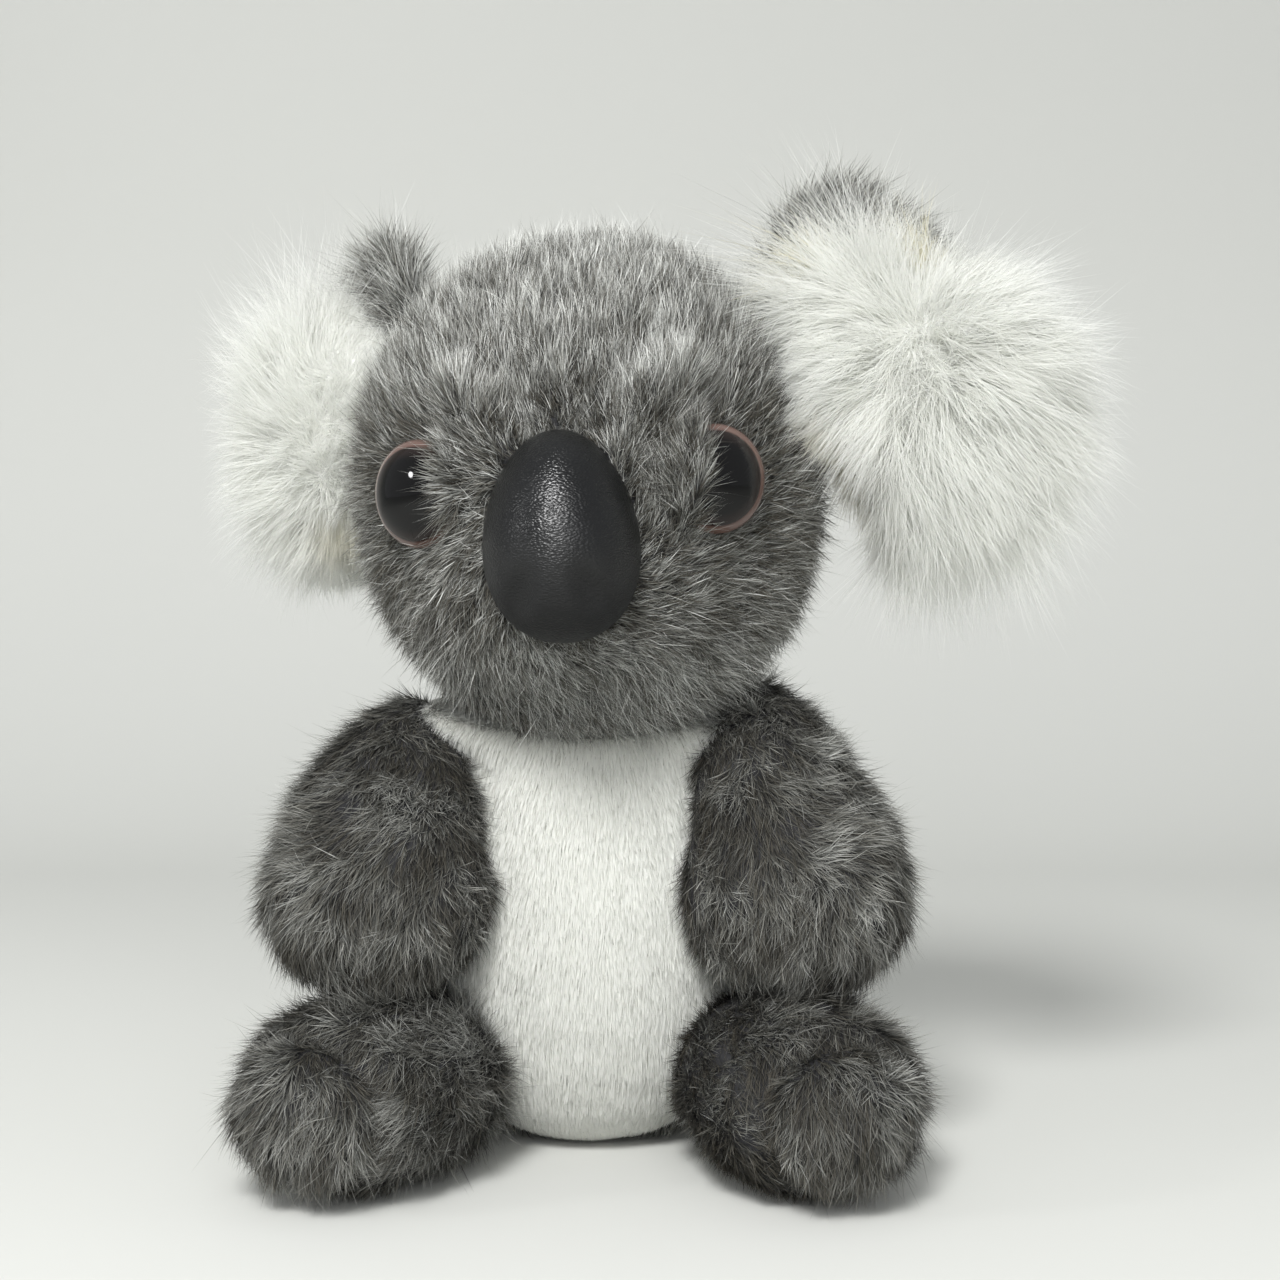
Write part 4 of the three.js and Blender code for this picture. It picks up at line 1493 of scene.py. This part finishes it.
@dataclass
class Studio:
    """The camera at the photograph's angle, soft lamps, and a pale floor that curves up behind."""

    eye: tuple[float, float, float] = (9.3 * MM, -403 * MM, 110 * MM)
    pitch: float = math.radians(2.5)
    focal_pixels: float = 2160.0
    frame_pixels: float = 1280.0
    sensor: float = 36.0  # in the camera's millimetres
    aim: tuple[float, float, float] = (0.0, 0.0, 0.09)  # where the lamps point
    paint: PaintFinish = PaintFinish("backdrop_paint", (0.56, 0.565, 0.537))
    reach: float = 2.0
    behind: float = 0.32
    curve: float = 0.25

    def build(self) -> None:
        """Makes everything that isn't the toy."""
        self._camera()
        self._backdrop()
        self._lamp("key", (-0.14, -0.7, 0.7), 0.26, 9.4)
        self._lamp("fill", (0.05, -0.9, 0.5), 0.8, 3.6)
        self._lamp("side", (-0.75, -0.35, 0.35), 0.1, 1.0)
        self._world()
        bpy.context.scene.view_settings.view_transform = "Standard"

    def _camera(self) -> None:
        """Places the camera."""
        data = bpy.data.cameras.new("camera")
        data.sensor_width = self.sensor
        data.lens = self.sensor * self.focal_pixels / self.frame_pixels
        data.clip_start = 0.01
        camera = new_object("camera", data)
        camera.location = self.eye
        camera.rotation_euler = (math.pi / 2 - self.pitch, 0, 0)
        bpy.context.scene.camera = camera

    def _lamp(self, name: str, place: tuple[float, float, float], size: float, power: float) -> None:
        """Adds a soft lamp that faces the toy.

        Args:
            name: the lamp's name.
            place: where it hangs, in metres.
            size: its width, in metres.
            power: its power, in watts.
        """
        data = bpy.data.lights.new(name, "AREA")
        data.shape = "DISK"
        data.size = size
        data.energy = power
        lamp = new_object(name, data)
        lamp.location = place
        lamp.rotation_euler = (Vector(self.aim) - Vector(place)).to_track_quat("-Z", "Y").to_euler()

    def _backdrop(self) -> None:
        """Makes one sheet: a floor, a round corner and a wall."""
        angles = np.linspace(0, math.pi / 2, 13)
        corner = np.stack([self.behind + self.curve * np.sin(angles), self.curve * (1 - np.cos(angles))], 1)
        profile = [(-self.reach, 0.0), *corner, (self.behind + self.curve, self.reach)]
        points = [(x, y, z) for y, z in profile for x in (-self.reach, self.reach)]
        faces = [(i, i + 1, i + 3, i + 2) for i in range(0, len(points) - 2, 2)]
        mesh = new_mesh("backdrop", points, faces)
        mesh.materials.append(self.paint.material())
        new_object("backdrop", mesh)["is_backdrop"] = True

    def _world(self) -> None:
        """Gives an even pale light from all round."""
        world = bpy.data.worlds.new("world")
        bpy.context.scene.world = world
        world.use_nodes = True
        tree = Tree(world.node_tree)
        light = tree.wire("ShaderNodeBackground", None, {"Color": (0.95, 0.97, 1.0), "Strength": 0.5})
        tree.add("ShaderNodeOutputWorld", None, {"Surface": light})


def dress_fixings(wardrobe: Wardrobe) -> None:
    """Gives the stems and washers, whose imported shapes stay, their plastics."""
    for name, node in frame["nodes"].items():
        if name.endswith(("_washer", "_stem")):
            finish = wardrobe.washer if name.endswith("_washer") else wardrobe.stem
            node.data.materials.clear()
            node.data.materials.append(wardrobe.get(finish))


def main() -> None:
    """Builds the scene in order."""
    logging.basicConfig(level=logging.INFO, format="%(message)s")
    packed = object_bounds()
    low, high = (np.array(corner) for corner in packed)
    spare = 0.03 * (high - low) + 9 * MM
    box = ((low - spare) * (1, 1, 0), high + spare)
    Studio().build()
    wardrobe = Wardrobe(box)
    dress_fixings(wardrobe)
    Torso(wardrobe).build()
    Head(wardrobe).build()
    ears = (
        Ear(
            wardrobe, Side.LEFT, hang=1.05, crest=0.95, corner=1.6, rim=1.0, whorl=(0.0, 10.5 * MM),
            pull=9 * MM, shade=0.47, peak=5 * MM, specks=((44 * MM, 1.2 * MM), (57 * MM, 1.8 * MM)),
        ),
        Ear(
            wardrobe, Side.RIGHT, hang=0.3, crest=1.5, corner=0.4, rim=1.4, whorl=(10 * MM, -1 * MM),
            pull=5 * MM, shade=0.53,
        ),
    )
    for ear in ears:
        ear.build()
        side, lean = ear.side, ear.side.value
        draw = ((3.2 + 1.3 * lean) * MM, (4.5 + 1.5 * lean) * MM)
        Limb(wardrobe, Kind.ARM, side, shade=0.34, inner_length=0.8, inner_shade=-0.06, draw=draw).build()
        shade, inner_length = 0.34 - 0.02 * lean, 0.95 - 0.25 * lean
        Limb(wardrobe, Kind.LEG, side, shade, inner_length, inner_shade=-0.11 * lean).build()


if __name__ == "__main__":
    main()
